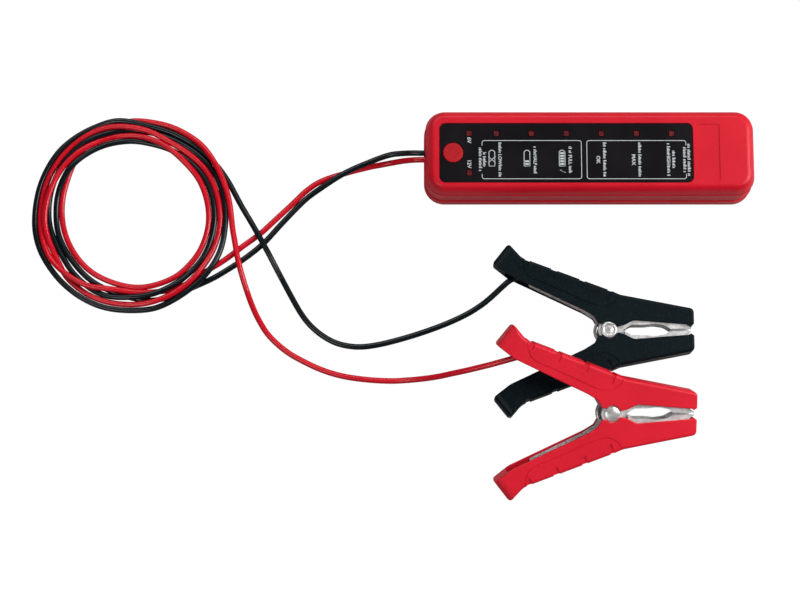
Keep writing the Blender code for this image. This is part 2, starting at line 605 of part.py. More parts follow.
def clamp_frame(colour):
    """The clamp's own frame in the tester's: x towards its jaw tips, z up through its thickness."""
    if colour == "black":
        return Matrix.Translation(Vector(BLACK_CLAMP_AT) * MM)
    start, end = (Vector((*point, 0.0)) * MM for point in TILT_LINE)
    turn = Matrix.Rotation(math.radians(RED_TILT), 4, (end - start).normalized())
    shift = Matrix.Translation(Vector(RED_CLAMP_AT) * MM)
    return shift @ Matrix.Translation(start) @ turn @ Matrix.Translation(-start)


def make_clamp(colour):
    pivot = bpy.data.objects.new(f"{colour}_clamp_pivot", None)
    bpy.context.scene.collection.objects.link(pivot)
    pivot.matrix_world = clamp_frame(colour)
    for half in ("upper", "lower"):
        make_grip(colour, half, pivot)
        make_jaw(colour, half, pivot)
    make_rivet(colour, pivot)
    make_spring(colour, pivot)
    ends = [Vector((*point, CLAMP_MIDDLE)) for point in (CRIMP_FROM, CRIMP_TO)]
    tube(f"{colour}_clamp_crimp", ends, CRIMP_RADIUS, "tin", pivot)


def make_leads():
    to_world = clamp_frame("red")
    in_handle = [tuple((to_world @ (Vector(point) * MM)) / MM) for point in RED_LEAD_IN_HANDLE]
    routes = {
        "black_lead_from_case": (BLACK_LEAD_FROM_CASE, "black_lead"),
        "red_lead_from_case": (RED_LEAD_FROM_CASE, "red_lead"),
        "black_lead_to_clamp": (BLACK_LEAD_TO_CLAMP, "black_lead"),
        "red_lead_to_clamp": (RED_LEAD_TO_CLAMP + tuple(in_handle), "red_lead"),
    }
    for name, (route, finish) in routes.items():
        tube(name, smooth_points(route, LEAD_POINT_SPACING), LEAD_RADIUS, finish)


def make_coil():
    edge = 3.0
    inner, outer, top = COIL_INNER, COIL_OUTER, COIL_HEIGHT
    corners = [(inner, 0.05, 1.5), (outer, 0.05, 1.5), (outer, top, edge), (inner, top, edge)]
    section = rounded(corners, 2)
    segments = 40
    shape = bmesh.new()
    rings = []
    for step in range(segments):
        angle = 2 * math.pi * step / segments
        across, along = math.cos(angle), math.sin(angle)
        rings.append([shape.verts.new(Vector((p.x * across, p.x * along, p.y)) * MM) for p in section])
    for ring, after in zip(rings, rings[1:] + rings[:1]):
        for index in range(len(section)):
            following = (index + 1) % len(section)
            shape.faces.new((ring[index], after[index], after[following], ring[following]))
    coil = place("lead_coil", finished_mesh("lead_coil", shape), "red_lead")
    coil.location = Vector((*COIL_CENTRE, 0.0)) * MM


def main():
    for thing in list(bpy.data.objects):
        bpy.data.objects.remove(thing, do_unlink=True)
    make_base_cover()
    make_top_cover()
    make_label()
    make_button()
    make_board()
    make_fasteners()
    for colour in ("black", "red"):
        make_clamp(colour)
    make_leads()
    make_coil()
    bpy.context.view_layer.update()


main()
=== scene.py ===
"""Battery tester with two clamp leads: its looks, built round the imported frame.

Sizes in the code are millimetres in the tester's own frame and become metres through MM. Each clamp's
shapes are drawn in the clamp's own frame: x towards its jaw tips, z up through its thickness.
"""

import math

import bmesh
import bpy
import numpy as np
from bpy.props import FloatProperty, FloatVectorProperty, IntProperty, PointerProperty
from mathutils import Matrix, Vector


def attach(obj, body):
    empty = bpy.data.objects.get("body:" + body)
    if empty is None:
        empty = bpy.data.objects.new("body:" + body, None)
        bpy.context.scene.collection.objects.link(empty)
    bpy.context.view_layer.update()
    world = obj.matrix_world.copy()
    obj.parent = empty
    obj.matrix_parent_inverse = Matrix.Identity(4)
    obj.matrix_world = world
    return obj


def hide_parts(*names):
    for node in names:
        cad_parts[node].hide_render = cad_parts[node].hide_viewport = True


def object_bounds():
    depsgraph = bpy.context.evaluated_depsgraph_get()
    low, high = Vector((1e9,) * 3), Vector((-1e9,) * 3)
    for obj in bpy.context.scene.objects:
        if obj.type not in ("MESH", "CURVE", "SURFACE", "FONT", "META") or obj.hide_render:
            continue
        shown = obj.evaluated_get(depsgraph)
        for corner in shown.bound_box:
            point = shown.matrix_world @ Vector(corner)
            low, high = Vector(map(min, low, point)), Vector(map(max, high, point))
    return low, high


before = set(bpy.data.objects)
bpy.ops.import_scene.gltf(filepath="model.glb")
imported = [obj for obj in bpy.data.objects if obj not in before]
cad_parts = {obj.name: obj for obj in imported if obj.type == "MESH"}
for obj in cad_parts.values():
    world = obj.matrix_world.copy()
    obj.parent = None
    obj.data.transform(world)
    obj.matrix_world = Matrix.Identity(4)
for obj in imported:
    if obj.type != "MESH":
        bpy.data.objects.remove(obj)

bl_info = {
    "name": "Battery tester",
    "version": (1, 0, 0),
    "blender": (4, 5, 0),
    "location": "View3D > Sidebar > Tester",
    "description": "Builds the looks of a battery tester with two clamp leads",
    "category": "Object",
}

MM = 0.001
CAD_BOX = [list(corner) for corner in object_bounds()]

# Case, as its frame has it
CASE_LENGTH, CASE_WIDTH, CASE_HEIGHT = 146.0, 38.9, 24.0
CASE_MIDDLE = (0.0, 0.4)
CASE_CORNER, CASE_WALL, BASE_RIM, TOP_INSET = 9.0, 2.0, 7.7, 0.5
LABEL_SIZE, LABEL_AT = (111.0, 26.4), (-10.7, -0.6)
LABEL_LOW, LABEL_TOP = 23.4, 23.85
POCKET_FLOOR = 23.1
PLATE_SIZE, PLATE_AT = (9.6, 26.0), (51.9, -0.6)
BUTTON_AT, BUTTON_RADIUS, BUTTON_TOP = (-60.4, -0.5), 4.4, 23.95
BUTTON_FLANGE = (20.7, 21.7)
LAMP_SIDE, GAP = 2.3, 0.3
LAMPS = [(f"lamp_state_{n + 1}", (-41.4 + 15.4 * n, 8.1)) for n in range(6)]
LAMPS += [("lamp_6_volt", (-53.3, 8.1)), ("lamp_12_volt", (-53.3, -9.6))]
BOSS_AT = (66.0, 12.0)
NOTCH_MIDDLE, NOTCH_HALF, NOTCH_TOP = 1.2, 3.0, 11.0

# Clamps
CLAMP_THICK = 11.0
CLAMP_AT = {"black": (8.1, -77.0, 0.0), "red": (7.0, -111.2, 0.08)}
CLAMP_TILT = {"black": 0.0, "red": 17.5}
TILT_LINE = ((-46.7, -38.6), (34.7, -10.0))
GRIP_CORNERS = (  # x, y, corner radius, rounding of the edge that follows
    (34.7, 2.3, 0.4, 0.4), (35.9, 1.7, 0.4, 0.4), (37.3, 2.6, 0.5, 0.7), (37.4, 9.4, 2.2, 1.5),
    (15.0, 13.8, 20.0, 1.5), (5.2, 15.7, 4.0, 1.5), (0.6, 17.7, 4.0, 1.5), (-38.2, 32.3, 7.0, 1.5),
    (-43.8, 39.0, 1.4, 4.2), (-51.0, 29.8, 1.3, 0.5), (-43.6, 24.2, 12.0, 0.5), (-11.0, 8.7, 5.0, 0.5),
    (-6.6, 6.0, 2.0, 0.5), (-4.9, 3.0, 0.6, 0.4),
)
RIVET_ROOM = 3.8
GRIP_LENS = ((4.3, 1.4, 0.3, 0.4), (6.8, 2.1, 2.0, 0.4), (10.8, 4.2, 4.0, 0.4))
GRIP_HOLLOW = (
    (34.8, -2.0, 0.0), (34.8, 7.9, 1.0), (4.2, 13.9, 4.0), (0.0, 15.9, 4.0), (-38.2, 30.2, 3.0),
    (-44.4, 30.8, 1.0), (-46.3, 20.0, 0.0), (-12.0, -2.0, 0.0),
)
GRIP_SIDE = 1.1
PAD_EDGE = ((-38.2, 32.3), (0.6, 17.7))  # the straight outer side of the handle
PAD_NOTCHES = ((-36.6, -34.4, 3.0), (-25.0, -22.4, 3.8), (-12.6, -10.2, 3.8), (-0.3, 1.5, 4.6))
PAD_GROOVE = (
    (-38.0, 33.6), (-37.6, 28.6), (-35.9, 24.6), (-33.2, 22.7), (-27.0, 20.1), (-19.2, 16.6),
    (-9.3, 12.1), (-3.7, 10.4), (0.6, 11.1), (3.2, 13.2), (4.6, 15.5), (5.2, 17.2),
)
RIVET_HEAD = 3.5
OUTER_PLATE = 1.4
SPRING_RADIUS, SPRING_PITCH, SPRING_TURNS = 5.9, 1.4, 2
SPRING_LEG_END = (-24.0, 21.9)

# Leads: lists of measured points, fitted and converted to these units beforehand. The stretches
# outside the coil are those of the frame.
LEAD_FROM_CASE = {
    "black": (
        (-64.8, 2.7, 9.5), (-73.4, 2.7, 9.5), (-77.6, 2.9, 8.9), (-82.0, 3.2, 7.1), (-87.6, 3.1, 5.1),
        (-93.0, 1.6, 4.3), (-98.0, -0.4, 4.1), (-103.0, -2.5, 4.1), (-108.0, -4.9, 4.0),
        (-113.2, -7.9, 3.5),
        (-118.8, -11.5, 2.4), (-124.0, -15.0, 1.35), (-128.6, -19.2, 1.25), (-136.8, -28.0, 1.25),
        (-143.9, -36.0, 1.25), (-150.0, -41.3, 1.25), (-155.7, -45.5, 1.25), (-162.0, -49.6, 1.25),
        (-169.3, -53.8, 1.3),
    ),
    "red": (
        (-64.8, -0.3, 9.5), (-73.4, -0.3, 9.5), (-77.6, -0.2, 8.6), (-82.0, 0.1, 5.6), (-87.6, -0.1, 2.4),
        (-93.0, -0.9, 1.35), (-98.0, -1.9, 1.25), (-108.2, -4.6, 1.25), (-118.4, -8.0, 1.25),
        (-125.3, -12.4, 1.25), (-132.1, -19.0, 1.25), (-139.0, -25.6, 1.25), (-146.3, -32.4, 1.25),
        (-155.8, -39.4, 1.25), (-163.5, -45.0, 1.3),
    ),
}
LEAD_TO_CLAMP = {
    "black": (
        (-160.3, -10.2, 3.4), (-158.4, -13.5, 3.0), (-156.0, -17.5, 2.7), (-153.3, -21.9, 2.8),
        (-150.3, -27.0, 3.5), (-147.1, -32.6, 3.85), (-144.5, -37.3, 3.85), (-141.6, -42.6, 3.3),
        (-138.6, -48.3, 2.0), (-135.4, -54.3, 1.3), (-132.4, -59.9, 1.25), (-127.6, -68.3, 1.25),
        (-122.8, -74.3, 1.25), (-116.6, -79.2, 1.25), (-110.3, -82.1, 1.25), (-102.6, -83.3, 1.25),
        (-94.8, -82.6, 1.25), (-85.7, -80.5, 1.25), (-74.4, -77.1, 1.25), (-63.1, -72.9, 1.25),
        (-54.0, -68.6, 1.35), (-47.2, -64.4, 2.3), (-42.4, -60.6, 3.9), (-38.4, -57.0, 5.2),
        (-35.0, -54.2, 5.5), (-31.4, -52.8, 5.5), (-27.7, -53.5, 5.5),
    ),
    "red": (
        (-158.9, -30.2, 4.0), (-157.9, -34.0, 3.9), (-156.9, -38.4, 3.85), (-156.0, -43.0, 3.85),
        (-154.8, -48.0, 3.6), (-153.2, -53.6, 2.3), (-151.5, -58.8, 1.4), (-149.6, -64.0, 1.25),
        (-146.7, -70.4, 1.25), (-142.0, -77.9, 1.25), (-134.9, -84.6, 1.25), (-127.5, -89.2, 1.25),
        (-117.9, -93.7, 1.25), (-108.3, -96.5, 1.25), (-97.5, -98.0, 1.25), (-88.0, -98.5, 1.35),
        (-80.5, -98.3, 2.3), (-73.6, -98.0, 4.8), (-67.0, -97.5, 8.2), (-60.6, -96.6, 11.7),
        (-54.6, -95.7, 14.6), (-48.6, -94.6, 17.2), (-43.6, -93.6, 19.2), (-34.2, -91.39, 22.33),
        (-30.97, -90.47, 22.58), (-27.8, -91.47, 21.95),
    ),
}
COIL_CENTRE = (-203.8, -24.1)
# Each turn's course round the coil, as converted points and not a formula: degrees, radius, and how many
# leads lie under it to begin with.
LEAD_COIL = {
    "black": (
        (-71, 40.9, 0), (-88, 37.5, 0), (-104, 35.0, 0), (-122, 34.0, 0), (-144, 33.3, 0), (-163, 34.5, 0),
        (-176, 34.2, 0), (-195, 34.6, 0.6), (-215, 35.4, 1), (-232, 35.6, 1), (-247, 35.9, 0.6),
        (-261, 35.8, 0.3), (-273, 35.9, 0.2), (-294, 35.8, 0), (-311, 36.5, 0), (-330, 38.1, 0),
        (-344, 38.6, 0), (-359, 39.2, 0), (-370, 38.8, 0), (-388, 38.5, 0), (-406, 37.8, 0.7),
        (-421, 37.7, 1), (-437, 37.5, 1), (-459, 37.5, 1), (-471, 37.8, 0.6), (-483, 37.0, 0.2),
        (-495, 36.4, 0), (-504, 35.8, 0), (-524, 36.7, 0), (-537, 37.9, 0), (-557, 38.2, 0),
        (-578, 39.0, 0.7), (-595, 39.0, 1), (-609, 38.9, 1), (-622, 39.0, 0.4), (-633, 39.0, 0),
        (-651, 39.4, 0), (-672, 39.6, 0), (-691, 40.0, 0), (-707, 40.4, 0), (-719, 41.1, 0),
        (-729, 41.6, 0.3), (-739, 42.6, 1), (-749, 43.1, 1.3), (-760, 42.9, 1.3), (-770, 42.3, 1.2),
        (-784, 42.1, 0.6), (-798, 42.3, 0), (-822, 41.9, 0), (-836, 42.1, 0), (-849, 42.1, 0),
        (-863, 42.0, 0), (-880, 42.1, 0), (-897, 41.4, 0), (-915, 41.4, 0), (-929, 42.2, 0),
        (-943, 43.1, 0.3), (-957, 42.7, 1), (-971, 42.5, 1), (-981, 42.7, 0.8), (-993, 41.0, 0),
        (-1011, 40.5, 0), (-1026, 40.9, 0), (-1038, 41.9, 0), (-1050, 43.6, 0.3),
    ),
    "red": (
        (-36, 41.7, 0), (-45, 40.7, 0), (-59, 38.6, 0), (-73, 36.0, 0), (-87, 35.0, 0.3),
        (-105, 35.3, 1), (-119, 37.5, 2), (-129, 38.2, 2), (-138, 39.0, 2), (-147, 39.9, 1.5),
        (-154, 40.4, 1), (-166, 40.5, 1), (-177, 40.9, 1), (-194, 41.0, 1), (-209, 40.8, 1),
        (-226, 40.7, 1.3), (-239, 40.9, 2), (-250, 40.8, 2), (-262, 40.6, 1.5), (-273, 40.3, 1),
        (-283, 39.5, 1), (-292, 38.5, 1), (-308, 38.7, 1), (-321, 39.6, 1), (-331, 39.9, 1),
        (-345, 39.8, 1), (-359, 39.8, 1), (-370, 39.8, 1.2), (-383, 39.9, 1.6), (-397, 40.1, 2.2),
        (-409, 40.5, 2.2), (-424, 40.3, 1.8), (-438, 40.1, 1.4), (-448, 40.2, 1), (-462, 40.2, 0.6),
        (-477, 40.2, 0.3), (-487, 39.8, 0), (-497, 39.6, 0), (-512, 37.6, 0.6), (-525, 37.6, 1),
        (-537, 37.9, 1), (-552, 37.9, 1), (-571, 38.3, 1.4), (-590, 38.7, 2), (-600, 38.8, 2),
        (-609, 39.1, 2), (-621, 38.8, 1.4), (-633, 37.9, 1), (-643, 36.8, 1), (-654, 36.2, 1),
        (-670, 35.5, 0.6), (-688, 36.1, 0), (-703, 36.0, 0), (-718, 35.7, 0), (-731, 35.6, 0),
        (-749, 35.3, 0), (-769, 35.0, 0.4), (-782, 34.5, 1), (-796, 34.2, 1), (-807, 33.7, 0.6),
        (-825, 32.0, 0), (-845, 31.4, 0), (-865, 31.1, 0), (-881, 31.1, 0), (-896, 31.6, 0),
        (-911, 32.6, 0), (-925, 34.0, 0), (-943, 36.9, 0), (-953, 38.0, 0), (-962, 39.4, 0),
        (-977, 41.0, 0), (-987, 42.0, 0.4), (-993, 42.0, 1), (-1010, 42.2, 1), (-1022, 42.5, 1),
        (-1035, 43.4, 1), (-1046, 43.2, 1.3), (-1054, 43.2, 1.6), (-1065, 43.1, 1.5), (-1079, 43.8, 1.2),
    ),
}
LEAD_STEP = 2.0  # between a lead's points
FREE_ENDS = 6  # points that settle with the coil before it begins and after it ends
FLOOR_GAP, LEAD_GAP = 0.05, 0.03  # under a lead, and between leads that touch
LAYER_RISE = 2.25  # radii that a lead rises for each lead under it
SINK = 0.06  # how far a free point sinks in each round
OWN_POINTS = 8  # points of one lead this near in order don't push each other apart

# Stage
FLOOR_SIDE, FLOOR_THICK = 24000.0, 4.0
FLOOR_GLOW_SHARE = 0.8
LOOK_AT = (-83.7, -62.0, 0.0)
SENSOR_WIDTH = 36.0


# ---- settings ----------------------------------------------------------------------------------


def length_setting(name, description, millimetres):
    return FloatProperty(
        name=name, description=description, default=millimetres * MM, min=0.0, subtype="DISTANCE",
        unit="LENGTH", precision=5,
    )


def colour_setting(name, description, colour):
    return FloatVectorProperty(
        name=name, description=description, default=colour, size=3, min=0.0, max=1.0, subtype="COLOR",
    )


class TesterCaseSettings(bpy.types.PropertyGroup):
    shoulder: length_setting("Shoulder", "Height at which the rounded top edge begins", 17.7)
    edge_across: length_setting("Edge width", "How far the rounded top edge reaches inwards", 3.8)
    edge_up: length_setting("Edge height", "Height of the rounded top edge", 5.9)
    plate_depth: length_setting("Plate depth", "Depth of the blank plate beside the label", 0.3)
    print_height: length_setting("Print height", "Thickness of the white print on the label", 0.03)
    print_line: length_setting("Print line", "Width of the printed lines", 0.27)


class TesterLeadSettings(bpy.types.PropertyGroup):
    diameter: length_setting("Diameter", "Outside diameter of each lead", 2.6)
    settling: IntProperty(
        name="Settling", description="Rounds in which the turns of the coil sink onto one another",
        default=600, min=50, max=3000,
    )


class TesterClampSettings(bpy.types.PropertyGroup):
    outer_edge: length_setting("Outer edge", "Rounding along the outer side of a handle", 1.5)
    inner_edge: length_setting("Inner edge", "Rounding along the inner side of a handle", 0.5)
    notch_depth: length_setting("Notch depth", "Depth of the notches between the finger pads", 0.55)
    groove_width: length_setting("Groove width", "Width of the groove round the finger pads", 0.38)
    groove_depth: length_setting("Groove depth", "Depth of the groove round the finger pads", 0.3)
    spring_wire: length_setting("Spring wire", "Radius of the spring's wire", 0.65)


class TesterColourSettings(bpy.types.PropertyGroup):
    case: colour_setting("Case", "Moulded plastic of the case", (0.66, 0.002, 0.017))
    button: colour_setting("Button", "Test button", (0.46, 0.003, 0.009))
    red_grip: colour_setting("Red handle", "Soft plastic of the red clamp", (0.74, 0.006, 0.024))
    black_grip: colour_setting("Black handle", "Soft plastic of the black clamp", (0.0008, 0.0058, 0.0085))
    red_lead: colour_setting("Red lead", "Insulation of the red lead", (0.66, 0.003, 0.016))
    black_lead: colour_setting("Black lead", "Insulation of the black lead", (0.0008, 0.0050, 0.0075))
    label: colour_setting("Label", "Film of the label", (0.0045, 0.0036, 0.005))
    print: colour_setting("Print", "Print on the label", (0.62, 0.66, 0.68))
    lamp: colour_setting("Lamp", "Unlit lamp window", (0.12, 0.006, 0.008))
    plating: colour_setting("Plating", "Nickel plating of the jaws and rivets", (0.92, 0.92, 0.91))
    floor: colour_setting("Floor", "Surface on which the tester lies", (0.42, 0.42, 0.42))


class TesterStageSettings(bpy.types.PropertyGroup):
    distance: FloatProperty(
        name="Camera distance", description="From the camera to the point it looks at", default=1.0,
        min=0.1, subtype="DISTANCE", unit="LENGTH",
    )
    elevation: FloatProperty(
        name="Camera elevation", description="Angle of the camera above the floor",
        default=math.radians(80.0), subtype="ANGLE", unit="ROTATION",
    )
    lens: FloatProperty(
        name="Lens", description="Focal length for a sensor 36 mm wide, in millimetres", default=101.25,
        min=10.0, unit="CAMERA",
    )
    side_light: FloatProperty(
        name="Side light", description="Power of the soft light at the jaws' side, in watts", default=8.5,
        min=0.0, unit="POWER",
    )
    top_light: FloatProperty(
        name="Top light", description="Power of the soft light above, in watts", default=7.0, min=0.0,
        unit="POWER",
    )
    sky: FloatProperty(name="Sky", description="Brightness of the room", default=0.07, min=0.0)
    floor_glow: FloatProperty(
        name="Floor glow", description="Brightness of the floor to the eye", default=1.22, min=0.0,
    )


def settings(part):
    return getattr(bpy.context.scene, f"tester_{part}")


# ---- materials ---------------------------------------------------------------------------------


class Signal:
    """A number carried by a socket. Arithmetic on it adds Math nodes."""

    def __init__(self, finish, socket):
        self.finish = finish
        self.socket = socket

    def worked(self, operation, first, second=0.0):
        node = self.finish.node("ShaderNodeMath", {"operation": operation}, {0: first, 1: second})
        return Signal(self.finish, node.outputs[0])

    def __add__(self, other):
        return self.worked("ADD", self, other)

    __radd__ = __add__

    def __sub__(self, other):
        return self.worked("SUBTRACT", self, other)

    def __rsub__(self, other):
        return self.worked("SUBTRACT", other, self)

    def __mul__(self, other):
        return self.worked("MULTIPLY", self, other)

    __rmul__ = __mul__


class Finish:
    """A new material and its nodes."""

    def __init__(self, name, constants):
        self.material = bpy.data.materials.new(name)
        self.material.use_nodes = True
        self.tree = self.material.node_tree
        self.shader = self.tree.nodes["Principled BSDF"]
        for socket, value in constants.items():
            self.feed(self.shader.inputs[socket], value)
        self.place = self.node("ShaderNodeTexCoord").outputs["Object"]

    def node(self, kind, choices=None, inputs=None):
        node = self.tree.nodes.new(kind)
        for name, value in (choices or {}).items():
            setattr(node, name, value)
        for name, value in (inputs or {}).items():
            self.feed(node.inputs[name], value)
        return node

    def feed(self, socket, value):
        if isinstance(value, Signal):
            value = value.socket
        if isinstance(value, bpy.types.NodeSocket):
            self.tree.links.new(value, socket)
        elif socket.type == "RGBA":
            socket.default_value = (*value, 1.0)
        else:
            socket.default_value = value

    def noise(self, grain, detail=2.0, stretch=None, distortion=0.0):
        """Noise whose features are about grain millimetres across."""
        place = self.place
        if stretch:
            mapping = self.node("ShaderNodeMapping", {}, {"Vector": place, "Scale": stretch})
            place = mapping.outputs["Vector"]
        made = self.node(
            "ShaderNodeTexNoise", {},
            {"Vector": place, "Scale": 1.0 / (grain * MM), "Detail": detail, "Distortion": distortion},
        )
        return Signal(self, made.outputs["Fac"])

    def cells(self, size):
        made = self.node("ShaderNodeTexVoronoi", {}, {"Vector": self.place, "Scale": 1.0 / (size * MM)})
        return Signal(self, made.outputs["Distance"])

    def between(self, signal, low, high, to_low=0.0, to_high=1.0):
        made = self.node(
            "ShaderNodeMapRange", {"interpolation_type": "SMOOTHSTEP"},
            {"Value": signal, "From Min": low, "From Max": high, "To Min": to_low, "To Max": to_high},
        )
        return Signal(self, made.outputs["Result"])

    def blended(self, share, first, second):
        """A colour socket between two colours."""
        made = self.node("ShaderNodeMix", {"data_type": "RGBA"}, {"Factor": share})
        self.feed(made.inputs[6], first)
        self.feed(made.inputs[7], second)
        return made.outputs[2]

    def finished(self, colour=None, roughness=None, relief=None, depth=0.02):
        if colour is not None:
            self.feed(self.shader.inputs["Base Color"], colour)
        if roughness is not None:
            self.feed(self.shader.inputs["Roughness"], roughness)
        if relief is not None:
            bump = self.node("ShaderNodeBump", {}, {"Height": relief, "Distance": depth * MM})
            bump.inputs["Strength"].default_value = 1.0
            self.feed(self.shader.inputs["Normal"], bump.outputs["Normal"])
        return self.material


def shade(colour, factor):
    return tuple(min(1.0, part * factor) for part in colour)


def moulded(name, colour, grain=0.45, depth=0.03, roughness=0.42, spread=0.10, specular=0.35):
    """Plastic from an eroded mould: fine pits, a faint cloudiness and paler specks painted in as sparkle
    highlights.
    """
    finish = Finish(name, {"IOR": 1.49, "Specular IOR Level": specular})
    pits = finish.noise(grain, 3.0)
    clouds = finish.noise(grain * 45, 2.0)
    # Paler specks at random: a painted highlight, the sparkle of light on the grain.
    glint_specks = finish.between(finish.noise(grain * 0.8, 1.0), 0.56, 0.72)
    tone = finish.between(clouds * 0.7 + pits * 0.3, 0.3, 0.7)
    body = finish.blended(tone, shade(colour, 0.93), shade(colour, 1.05))
    # Colour of the painted sparkle highlight: a little paler than the plastic.
    glint_tint = tuple(part + 0.035 * (1.0 - part) for part in colour)
    skin = finish.blended(glint_specks * 0.35, body, glint_tint)
    dull = roughness + (pits - 0.5) * (2 * spread) + (clouds - 0.5) * spread
    return finish.finished(skin, dull, pits, depth)


def insulation(name, colour):
    """Extruded PVC: glossy, with long faint ripples and a few dull patches."""
    finish = Finish(name, {"IOR": 1.5, "Specular IOR Level": 0.4})
    ripples = finish.noise(2.2, 2.0)
    haze = finish.between(finish.noise(16.0, 2.0), 0.35, 0.7)
    skin = finish.blended(haze, shade(colour, 0.94), shade(colour, 1.06))
    return finish.finished(skin, 0.24 + haze * 0.08 + (ripples - 0.5) * 0.04, ripples, 0.0015)


def plated(name, colour, roughness=0.2, wear=0.25, depth=0.01, shine=0.5):
    """Plated sheet metal: cloudy gloss, rolling marks, small scratches and a few dull stains."""
    finish = Finish(name, {"Metallic": shine, "IOR": 2.2})
    clouds = finish.between(finish.noise(3.2, 3.0, distortion=0.6), 0.3, 0.72)
    scratches = finish.between(finish.noise(0.7, 4.0, stretch=(0.16, 2.6, 1.0)), 0.56, 0.72)
    ripple = finish.noise(1.6, 2.0)
    stains = finish.between(finish.noise(5.0, 4.0, distortion=1.2), 0.58, 0.78)
    skin = finish.blended(clouds, shade(colour, 0.72), colour)
    skin = finish.blended(stains * wear, skin, shade(colour, 0.30))
    dull = roughness + clouds * 0.10 + scratches * 0.16 + stains * 0.14
    return finish.finished(skin, dull, ripple + scratches * 0.35, depth)


def label_film(name, colour):
    """Screen-printed polyester film with a very fine even texture."""
    finish = Finish(name, {"IOR": 1.5, "Specular IOR Level": 0.16})
    weave = finish.noise(0.16, 1.0)
    haze = finish.between(finish.noise(22.0, 2.0), 0.35, 0.7)
    skin = finish.blended(haze, shade(colour, 0.85), shade(colour, 1.25))
    return finish.finished(skin, 0.34 + haze * 0.07 + (weave - 0.5) * 0.10, weave, 0.004)


def print_ink(name, colour):
    finish = Finish(name, {"IOR": 1.45})
    grain = finish.noise(0.22, 2.0)
    skin = finish.blended(finish.between(grain, 0.3, 0.7), shade(colour, 0.86), shade(colour, 1.05))
    return finish.finished(skin, 0.55 + (grain - 0.5) * 0.2, grain, 0.003)


def lamp_window(name, colour):
    """Smoky red window: a darker frame of ink shows round a small square die."""
    finish = Finish(name, {"IOR": 1.5, "Coat Weight": 0.2, "Coat Roughness": 0.15})
    patches = finish.between(finish.cells(0.75), 0.25, 0.6)
    fine = finish.noise(0.35, 2.0)
    glint = finish.between(finish.noise(0.5, 1.0), 0.64, 0.74)
    skin = finish.blended(patches * 0.8, shade(colour, 1.5), shade(colour, 0.35))
    skin = finish.blended(glint * 0.35, skin, (0.30, 0.16, 0.14))
    return finish.finished(skin, 0.30 + (fine - 0.5) * 0.2, fine, 0.006)


def circuit_film(name):
    """Solder mask over copper tracks, with bare spots."""
    finish = Finish(name, {"IOR": 1.5, "Coat Weight": 0.3, "Coat Roughness": 0.2})
    tracks = finish.node(
        "ShaderNodeTexBrick", {"offset": 0.37, "squash": 1.0},
        {"Vector": finish.place, "Scale": 1.0 / (4.0 * MM), "Mortar Size": 0.035, "Row Height": 0.4},
    )
    lines = Signal(finish, tracks.outputs["Fac"])
    haze = finish.noise(9.0, 2.0)
    skin = finish.blended(lines, (0.012, 0.11, 0.035), (0.035, 0.22, 0.065))
    skin = finish.blended(haze * 0.2, skin, (0.02, 0.09, 0.03))
    return finish.finished(skin, 0.32 + haze * 0.15, lines, 0.03)


def cast_block(name, colour, grain, roughness):
    """Epoxy, ceramic or nylon: a fine matt grain with paler and darker clouds."""
    finish = Finish(name, {"IOR": 1.52})
    grains = finish.noise(grain, 3.0)
    clouds = finish.noise(grain * 12, 2.0)
    skin = finish.blended(finish.between(clouds, 0.3, 0.7), shade(colour, 0.85), shade(colour, 1.12))
    return finish.finished(skin, roughness + (grains - 0.5) * 0.18, grains, 0.02)


# ---- shapes ------------------------------------------------------------------------------------


def rounded_corner(corners, index, steps=6):
    """The points of one (x, y, radius) corner of a closed outline, rounded by an arc."""
    x, y, radius = corners[index]
    here = Vector((x, y))
    before = Vector(corners[index - 1][:2]) - here
    after = Vector(corners[(index + 1) % len(corners)][:2]) - here
    turn = math.pi - before.angle(after)
    if radius <= 0 or turn < 0.02:
        return [here]
    half = turn / 2
    back = min(radius * math.tan(half), 0.45 * before.length, 0.45 * after.length)
    middle = (before.normalized() + after.normalized()).normalized()
    centre = here + middle * (back / math.sin(half))
    start = here + before.normalized() * back - centre
    side = 1 if before.x * after.y - before.y * after.x < 0 else -1
    return [centre + Matrix.Rotation(side * turn * step / steps, 2) @ start for step in range(steps + 1)]


def rounded(corners, steps=6):
    """The closed outline through (x, y, radius) corners, each rounded by an arc."""
    return [point for index in range(len(corners)) for point in rounded_corner(corners, index, steps)]


def arc(radius, first, last, steps, centre=(0.0, 0.0)):
    """Points on a circle, between two angles in degrees."""
    angles = [math.radians(first + (last - first) * step / steps) for step in range(steps + 1)]
    return [Vector((centre[0] + radius * math.cos(a), centre[1] + radius * math.sin(a))) for a in angles]


def rectangle(size, radius, centre=(0.0, 0.0), steps=6):
    x, y = size[0] / 2, size[1] / 2
    corners = [(x, -y, radius), (x, y, radius), (-x, y, radius), (-x, -y, radius)]
    return [point + Vector(centre) for point in rounded(corners, steps)]


def mirrored(points):
    return [Vector((point[0], -point[1])) for point in points]


def mesh_of(shape, sharp=32.0):
    bmesh.ops.recalc_face_normals(shape, faces=shape.faces)
    mesh = bpy.data.meshes.new("shape")
    shape.to_mesh(mesh)
    shape.free()
    mesh.shade_smooth()
    mesh.set_sharp_from_angle(angle=math.radians(sharp))
    return mesh


def prism(points, low, high, along_x=False):
    """An outline drawn out from low to high. Along X, its points are (y, z)."""
    if along_x:
        rings = [[(depth, point[0], point[1]) for point in points] for depth in (low, high)]
    else:
        rings = [[(point[0], point[1], depth) for point in points] for depth in (low, high)]
    return lofted(rings)


def lofted(rings, sharp=32.0):
    """A closed body through rings of equal point counts, capped at both ends."""
    shape = bmesh.new()
    loops = [[shape.verts.new(Vector(point) * MM) for point in ring] for ring in rings]
    for lower, upper in zip(loops, loops[1:]):
        for index in range(len(lower)):
            following = (index + 1) % len(lower)
            shape.faces.new((lower[index], lower[following], upper[following], upper[index]))
    shape.faces.new(loops[0])
    shape.faces.new(loops[-1])
    return mesh_of(shape, sharp)


